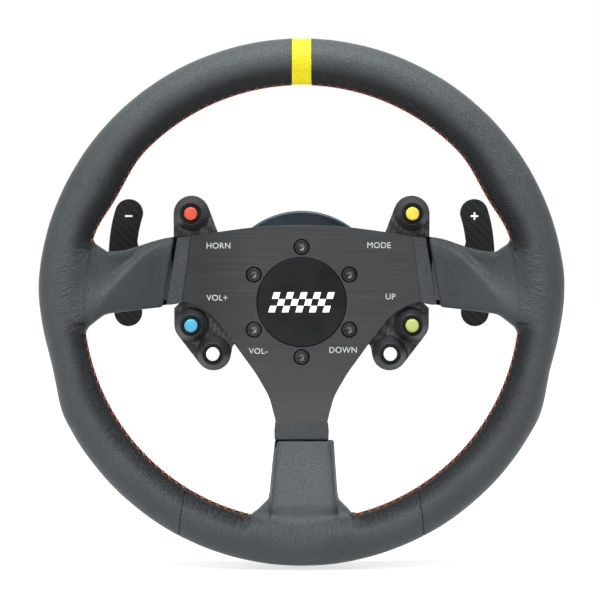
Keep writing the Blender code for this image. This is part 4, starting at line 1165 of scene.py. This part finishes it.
def build_cuffs():
    """The thin leather strips that end each pad on the metal, and a black sheet of painted shadow that shows
    in each groove.
    """
    strip = [(70.4, 41.7), (78.8, 41.1), (85.9, -1.6), (82.8, -1.6), (75.9, -0.4)]
    # Near black and hardly reflecting: painted shadow under the groove between each strip and its pad
    under = [(77, 41.6), (81.5, 41.5), (85, 40.3), (92, 0), (87.6, -1.9), (83.8, -1.4)]
    for name, side in (("left", -1), ("right", 1)):
        wrap(f"cuff_{name}", flip(strip, side), 0.9, "leather_strip", 0.54)
        wrap(f"shadow_strip_{name}", flip(under, side), 0.25, "painted_shadow", 0.15)
    strip = [(-17.0, -77.2), (-8, -76.7), (8, -76.7), (17.0, -77.2), (17.4, -82), (17.2, -87.6)]
    strip += [(-17.2, -87.6), (-17.4, -82)]
    wrap("cuff_bottom", strip, 0.9, "leather_strip", 0.6)
    # Painted shadow in the groove above the bottom pad
    under = [(-16.6, -86), (16.6, -86), (16.9, -93), (-16.9, -93)]
    wrap("shadow_strip_bottom", under, 0.3, "painted_shadow", 0.2, 2)


def build_cap():
    """The cap in the middle, with a neutral slanted chequer on it."""
    back, edge, front = PLATE_FRONT - 2, FRAME_BACK + 0.3, FRAME_FRONT - 0.2
    profile = [(0, back), (19.5, back), (19.5, edge), (28.35, edge), (28.35, front - 0.45), (28.0, front)]
    profile += [(12, front + 0.25), (0, front + 0.3)]
    lathe("cap_disc", profile, "cap_black", "centre_cap", 128, corner=0.3)
    points, faces = [], []
    size, lean, columns, rows = 4.3, 0.28, 9, 3
    for column, row in np.ndindex(columns, rows):
        if (column + row) % 2:
            continue
        faces += capped_faces(len(points), 2, 4)
        for forward in (front + 0.05, front + 0.36):
            for dx, dz in ((0, 0), (0.97, 0), (0.97, 0.97), (0, 0.97)):
                x, z = (column - columns / 2 + dx) * size, (row - rows / 2 + dz) * size
                points.append((x + lean * z, forward, z))
    from_points("cap_chequer", points, faces, "white_mark")


def add_word(name, words, x, z):
    """Printed letters on the front of the frame."""
    height, letter_share = 3.8, 0.73
    data = bpy.data.curves.new(name, "FONT")
    data.body = words
    data.size = height / letter_share * MM
    data.align_x, data.align_y = "CENTER", "CENTER"
    data.extrude = 0.00004
    data.offset = 0.00006
    data.space_character = 1.06
    text = add_object(name, data)
    place = Matrix.Translation(to_frame((x, FRAME_FRONT + 0.03, z)))
    text.matrix_world = place @ Matrix.Rotation(math.pi / 2, 4, "X")
    bpy.context.view_layer.update()
    mesh = bpy.data.meshes.new_from_object(text)
    mesh.transform(text.matrix_world)
    bpy.data.objects.remove(text)
    mesh.materials.clear()
    mesh.materials.append(MATERIALS["white_print"])
    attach(add_object(name, mesh), "wheel")


def build_words():
    add_word("word_horn", "HORN", -52.7, 35.7)
    add_word("word_volume_up", "VOL+", -53.6, 2.6)
    add_word("word_volume_down", "VOL-", -27.5, -31.3)
    add_word("word_mode", "MODE", 49.0, 36.0)
    add_word("word_up", "UP", 56.4, 3.4)
    add_word("word_down", "DOWN", 26.4, -30.6)


# The button box


def button_plate_outline(inset=0.0):
    ear, low_ear = 11.4 - inset, 11.2 - inset
    half = [(0, 42 - inset), (30, 41 - inset), (51 + inset, 38 - inset)]
    half += arc(UPPER_EAR, ear, 161, 0, 12)
    half += [(81.4 - inset, 44 + inset)] + arc((78.9 - inset, 42.5 + inset), 2.5, -10, -80, 3)
    half += [(76 - inset, 38), (76 - inset, 1), (81.2 - inset, -4)]
    half += arc(SIDE_EAR, low_ear, 0, -37.3, 5)
    half += arc(LOWER_EAR, low_ear, -37.3, -176, 12)
    half += [(43.5 - inset, -25), (24 - inset, -42 + inset), (0, -45 + inset)]
    return mirrored(half)


def build_button_plate():
    holes = [circle(20, 36)] + [circle(2.8, 16, c) for c in BOLTS]
    holes += [circle(5, 24, (side * x, z)) for _, side, (x, z), _ in BUTTONS]
    outline = button_plate_outline()
    plate("carbon_plate", outline, PLATE_BACK, PLATE_FRONT, "carbon", "button_plate", holes, 0.4)


def build_buttons():
    """Each button: a flanged ring with a conical top, and a small cap that stands proud of it."""
    ring = [(10.9, 0), (10.9, 1.4), (10.5, 2.0), (9.0, 4.2), (7.4, 7.2), (7.0, 7.8), (6.6, 7.8), (6.5, 6.8)]
    ring += [(5.3, 6.8), (5.3, 1.2), (4.95, 0)]
    gasket = [(6.55, 6.6), (6.55, 7.4), (6.2, 7.6), (4.9, 7.6), (4.6, 7.3), (4.6, 6.6)]
    button = [(0, 2.8), (4.2, 2.8), (4.2, 10.9), (3.9, 11.6), (3.1, 12.0), (1.5, 12.15), (0, 12.2)]
    base = PLATE_FRONT + 0.05
    ring, gasket, button = ([(radius, base + up) for radius, up in p] for p in (ring, gasket, button))
    for name, side, (x, z), colour in BUTTONS:
        place = (side * x, z)
        lathe(f"{name}_ring", ring, "bezel_black", f"{name}_bezel", 72, place, 0.45)
        lathe(f"{name}_gasket", gasket, "rubber", "", 64, place, 0.2)
        lathe(f"{name}_cap", button, f"button_{colour}", f"{name}_button", 48, place, 0.25, f"{name}_key")


def build_box():
    """The rear cover: a tray with a raised middle and a clamping ring for the wheel's bolts."""
    outline, window = button_plate_outline, [circle(18, 36)]
    body = plate_builder(outline(1.0), BOX_BACK + 3.4, BOX_FRONT, window, 1.0, 3)
    body = carve(body, [plate_builder(outline(3.4), BOX_BACK, BOX_BACK + 4.0, window, 0.6, 3)], "UNION")
    body = carve(body, [plate_builder(outline(4.8), BOX_BACK + 2.4, BOX_FRONT + 1, (), 0)])
    body = carve(body, [lathe_builder(ring_profile(28, 41, BOX_BACK + 1.2, BOX_FRONT))], "UNION")
    body = carve(body, drills(2.8, BOX_BACK - 2, BOX_FRONT + 2, BOLTS))
    save("box_shell", body, "box_plastic", "box_rear_cover", **FLAT)


def build_box_ribs():
    """Moulded ribs on the rear cover, and its screws."""
    ribs, screws = [], []
    collar = ring_profile(6.2, 7.4, BOX_BACK - 0.6, BOX_BACK + 1)
    for side in (-1, 1):
        for k in range(5):
            low, high = 41.5, 47.5 - 0.35 * abs(k - 2)
            angle = math.radians(56 + 8 * k)
            rib = []
            for radius, across in ((low, 0.7), (high, 0.7), (high, -0.7), (low, -0.7)):
                x = radius * math.cos(angle) - across * math.sin(angle)
                rib.append((x, -(radius * math.sin(angle) + across * math.cos(angle)) + 8))
            ribs.append(plate_builder(flip(rib, side), BOX_BACK - 0.7, BOX_BACK + 1, (), 0.25))
        for place in flip(EARS, side):
            ribs.append(lathe_builder(collar, 48, place, 0.25))
            screws.append(screw_builder(place, BOX_BACK + 0.4, BOX_BACK - 1.1, 2.4))
        ribs.append(plate_builder(box_outline(side * 17, -40, 7, 3), 101, 109, (), 0.5, 3))
    save("box_ribs", join(ribs), "box_plastic", **FLAT)
    save("box_screws", join(screws), "black_oxide")


def build_lead_socket():
    x, z, back = 57.0, -27.0, BOX_BACK - 7.5
    outline, hole = box_outline(x, z, 6.5, 4.5, 1.0), box_outline(x, z, 5, 3, 0.5)
    shell = plate_builder(outline, back, back + 5.6, [hole], 0.4, 3)
    floor = plate_builder(outline, back + 5.6, BOX_BACK - 0.3)
    save("lead_socket_shell", join([shell, floor]), "box_plastic", "data_socket", **FLAT)
    pins = []
    for k in range(5):
        for row in (-1, 1):
            pin = box_outline(x - 3.2 + 1.6 * k, z + 1.1 * row, 0.3, 0.3, 0.1)
            pins.append(plate_builder(pin, back + 1.5, back + 6))
    save("lead_socket_pins", join(pins), "gold_anodised")


# The column boss and the quick release

BASE_BOLTS = circle(31.8, 6, start=90)


def build_boss():
    profile = [(46, 0), (57.5, 0), (57.5, 15), (56.5, 16), (43.5, 16), (42.9, 20), (42.0, 20.8), (39.6, 22)]
    profile += [(38.6, 24), (38.0, 26), (38, 54.5), (40.4, 55.5), (40.4, 61), (17, 61), (17, 34), (9, 34)]
    profile += [(9, 10), (46, 10)]
    cutters = drills(2.3, 48, 62, BASE_BOLTS) + drills(1.8, -1, 17, circle(51.5, 6, start=60))
    cutters.append(rod(4.0, (0, 38, -44.5), (0, 38, -32.5)))
    cutters.append(rod(4.9, (0, 38, -44.5), (0, 38, -37.2)))
    body = carve(lathe_builder(profile, 144, corner=0.7), cutters)
    save("column_boss", body, "grey_anodised", "hub_boss", "hub")
    grooves = [ring_profile(38.0, 38.25, f, f + 0.5) for f in (27.5, 51.5)]
    rings = join([lathe_builder(g, 144, corner=0.1) for g in grooves])
    save("boss_rings", rings, "grey_anodised", body="hub")


def build_release_base():
    """The hub's half of the quick release: a flange, and a spigot with a ball groove and a hexagon."""
    profile = [(17, 61.3), (37, 61.3), (37, 69.7), (36.2, BASE_FRONT), (22, BASE_FRONT), (22, 77.5)]
    profile += [(20.8, 79), (20.8, 82), (22, 83.5), (22, 84.7), (18.4, 84.7), (18.4, 95.4), (17, 95.4)]
    hexagonal = lathe_builder(ring_profile(17.2, 21.7, 84, 96), 6, corner=0.0)
    body = carve(lathe_builder(profile, 144), [hexagonal], "UNION")
    cutters = drills(2.3, 60, 72, BASE_BOLTS) + drills(4.6, 65.5, 72, circle(38.6, 6, start=60))
    save("release_base", carve(body, cutters), "black_anodised", "quick_release_base", "hub")
    for i, place in enumerate(BASE_BOLTS, 1):
        head = screw_builder(place, BASE_FRONT + 0.3, BASE_FRONT + 2.4, 3.7)
        shank = drills(2.0, 49, BASE_FRONT + 0.5, [place])
        save(f"hub_screw_{i}", join([head, *shank]), "plain_steel", f"base_screw_{i}", "hub")


def build_release_sleeve():
    """The wheel's half: a sleeve with pockets for the balls and a hexagonal bore, and a flange."""
    profile = [(22.3, 70.8), (27.5, 70.8), (27.5, 73.3), (26.6, 73.3), (26.6, 74.5), (27.5, 74.5)]
    profile += [(27.5, FLANGE_BACK), (39, FLANGE_BACK), (39, 108), (8, 108), (8, 87), (22.3, 87)]
    cutters = [lathe_builder(ring_profile(0, 22.4, 85, 97.5), 6, corner=0.0)]
    for x, z in circle(25, 6, start=30):
        cutters.append(rod(3.4, (0.72 * x, BALLS, 0.72 * z), (1.2 * x, BALLS, 1.2 * z)))
    cutters += drills(2.7, 102, 109, BOLTS)
    body = carve(lathe_builder(profile, 144, corner=0.35), cutters)
    save("release_sleeve", body, "black_anodised", "quick_release_body")


def build_collar():
    """The gold collar with its knurled finger disc, and the split ring that keeps it."""
    profile = [(29.3, 74.8), (31.4, 74.8), (32, 75.4), (32, 77.2), (31.5, 77.7), (32, 78.2), (32, 83.6)]
    profile += [(31.5, 84.1), (32, 84.6), (32, 86.5), (39.0, 86.5), (39.5, 87.0), (39.5, 88.5), (39.0, 89)]
    profile += [(32, 89), (32, 90.6), (31.5, 91.1), (32, 91.6), (32, 94.6), (31.5, 95.1), (32, 95.6)]
    profile += [(32, 96.2), (31.5, 96.7), (30.5, 96.7), (30.5, 88), (27.9, 88), (27.9, 86), (29.3, 86)]
    body = lathe_builder(profile, 180, corner=0.2)
    for vert in body.verts:
        if math.hypot(vert.co.x, vert.co.z) > 38.9 * MM:
            angle = math.atan2(vert.co.z, vert.co.x)
            scale = 1 - 0.012 * (0.5 + 0.5 * math.cos(90 * angle))
            vert.co.x *= scale
            vert.co.z *= scale
    save("gold_collar", body, "gold_anodised", "release_collar", "collar")
    outline = arc((0, 0), 30.2, -72, 252, 90) + arc((0, 0), 27.0, 252, -72, 90)
    plate("keeper_ring", outline, 73.4, 74.4, "plain_steel", "collar_snap_ring", bevel=0.2)


def build_spring():
    turns = 4
    steps = 48 * turns
    path = []
    for i in range(steps + 1):
        share = i / steps
        angle = math.tau * turns * share
        forward = 89.1 + 12.9 * min(1, max(0, (share - 0.1) / 0.8))
        path.append((29.2 * math.cos(angle), forward, 29.2 * math.sin(angle)))
    points, faces = [], []
    tube_faces(points, faces, path, 0.7, 12)
    spring = from_points("spring_coil", points, faces, "black_oxide", "collar_spring")
    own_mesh(spring)


def build_balls():
    """Six balls on the wire that spaces them."""
    parts = []
    for x, z in circle(25.5, 6, start=30):
        builder = bmesh.new()
        bmesh.ops.create_uvsphere(builder, u_segments=28, v_segments=16, radius=3 * MM)
        bmesh.ops.translate(builder, verts=builder.verts[:], vec=to_frame((x, BALLS, z)))
        parts.append(builder)
    points, faces = [], []
    tube_faces(points, faces, [(x, BALLS, z) for x, z in arc((0, 0), 28.2, 0, 360, 120)], 0.35, 8)
    save("ball_set", join([*parts, points_builder(points, faces)]), "plain_steel", "locking_balls")


# The paddles

PIVOT = (50.0, 83.5)  # of the right paddle: x and forward
BLADE_BACK = 78.4
BLADE_FRONT = 80.9


def blade_outline():
    """A curved finger with round ends, and an inner lobe that is screwed to the arm."""
    tip, middle, tail, half = Vector((113.8, 56.3)), Vector((118.2, 27.0)), Vector((114.6, -9.3)), 9.2
    bend = 2 * middle - (tip + tail) / 2
    outer, inner = [], []
    for k in range(41):
        t = k / 40
        point = (1 - t) ** 2 * tip + 2 * t * (1 - t) * bend + t * t * tail
        along = 2 * (1 - t) * (bend - tip) + 2 * t * (tail - bend)
        across = Vector((-along.y, along.x)).normalized() * half
        outer.append(tuple(point + across))
        inner.append(tuple(point - across))
    inner.reverse()
    start = math.degrees(math.atan2(outer[0][1] - tip.y, outer[0][0] - tip.x))
    end = math.degrees(math.atan2(outer[-1][1] - tail.y, outer[-1][0] - tail.x))
    lobe = [(105.3, 3.5), (101, 1.6), (88, 1.5), (76, 1.6), (73, 4.5), (73, 12), (73, 19.5), (76, 22.4)]
    lobe = spline(lobe, 4) + spline([(88, 23.2), (98, 24.2), (104, 27.5), (107.4, 33)], 4)
    ring = arc(tip, half, start + 180, start, 24)[1:-1] + outer + arc(tail, half, end, end - 180, 24)[1:-1]
    return ring + [p for p in inner if p[1] < 0] + lobe + [p for p in inner if p[1] > 36]


def build_blade(word, side):
    body = f"{word}_paddle"
    blade = plate_builder(flip(blade_outline(), side), BLADE_BACK, BLADE_FRONT, (), 0.7, 3)
    save(f"blade_{word}", blade, "paddle_carbon", f"paddle_blade_{word}", body, **FLAT)
    x, z, half, thin = side * 114.0, 54.3, 2.45, 0.6
    back = BLADE_FRONT - 0.2
    bars = [plate_builder(box_outline(x, z, half, thin, 0.2), back, BLADE_FRONT + 0.06, (), 0)]
    if side > 0:
        bars.append(plate_builder(box_outline(x, z, thin, half, 0.2), back, BLADE_FRONT + 0.09, (), 0))
    save(f"sign_{word}", join(bars), "white_mark", body=body)


def upright(side, radius, low, high, segments=32):
    """A bar on the line of a paddle's pivot."""
    x, forward = side * PIVOT[0], PIVOT[1]
    return rod(radius, (x, forward, low), (x, forward, high), segments)


def build_lever(word, side):
    body = f"{word}_paddle"
    arm = [(51, 1.5), (62, 1.7), (72, 2.0), (86, 3.2), (96, 4.0), (98.4, 5.4), (99, 7.5), (99, 16.5)]
    arm += [(98.4, 18.6), (96, 20.0), (86, 20.8), (72, 22.0), (62, 22.3), (51, 22.5)]
    lever = plate_builder(flip(arm, side), 81.2, 85.2, (), 0.6, 3)
    lever = carve(lever, [upright(side, 3.6, 0.5, 23.5, 48)], "UNION")
    lever = carve(lever, [upright(side, 1.65, -1, 25)])
    save(f"lever_{word}", lever, "lever_metal", f"paddle_arm_{word}", body)
    places = flip([(79, 12), (91, 7.5), (91, 16.5)], side)
    screws = [screw_builder(place, 81.0, 78.0, 2.6) for place in places]
    screws.append(screw_builder((side * 79, 12), 80.7, 82.3, 2.6))
    save(f"blade_screws_{word}", join(screws), "plain_steel", body=body)


def build_block(word, side):
    """The block that carries a paddle's pin between two ears."""
    outline = flip(box_outline(53.75, 12, 8.25, 16, 1.2), side)
    block = plate_builder(outline, 88.5, BOX_BACK - 0.3, (), 0.5, 3)
    ears = [flip(box_outline(50, z, 4, 1.9, 0.3), side) for z in (-1.9, 25.9)]
    block = carve(block, [plate_builder(ear, 79.5, 89.5, (), 0.4) for ear in ears], "UNION")
    cuts = [upright(side, 1.65, -6, 30, 24)]
    cuts += [rod(2.3, (side * 61.2, 98, z), (side * 64, 98, z)) for z in (6.65, 17.35)]
    save(f"block_{word}", carve(block, cuts), "box_plastic", f"paddle_block_{word}", angle=50)
    save(f"pin_{word}", upright(side, 1.5, -4.4, 28.4), "plain_steel", f"paddle_pin_{word}")
    screws = []
    for z in (6.65, 17.35):
        head = screw_builder((0, 0), 0.0, 1.5, 2.1)
        place = Matrix.Translation(to_frame((side * 61.3, 98, z)))
        turn = Matrix.Rotation(side * math.pi / 2, 4, "Z")
        bmesh.ops.transform(head, matrix=place @ turn, verts=head.verts[:])
        screws.append(head)
    save(f"block_screws_{word}", join(screws), "plain_steel")


def build_paddles():
    for word, side in (("left", -1), ("right", 1)):
        build_blade(word, side)
        build_lever(word, side)
        build_block(word, side)


def dress_hidden_parts():
    """Materials for the pieces that keep their CAD shape."""
    carried = {"circuit_board": "solder_mask", "rim_foam": "foam"}
    for name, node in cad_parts.items():
        if node.type == "MESH" and not node.hide_render:
            key = carried.get(name, "box_plastic" if name.endswith("_switch") else "plain_steel")
            node.data.materials.clear()
            node.data.materials.append(MATERIALS[key])


make_materials()
add_camera()
add_studio()
build_leather()
build_seams()
build_marker()
build_frame()
build_bolts()
build_cuffs()
build_cap()
build_words()
build_button_plate()
build_buttons()
build_box()
build_box_ribs()
build_lead_socket()
build_boss()
build_release_base()
build_release_sleeve()
build_collar()
build_spring()
build_balls()
build_paddles()
dress_hidden_parts()

boxes = {"cad": cad_box, "visual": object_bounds()}
{key: [list(corner) for corner in value] for key, value in boxes.items()}
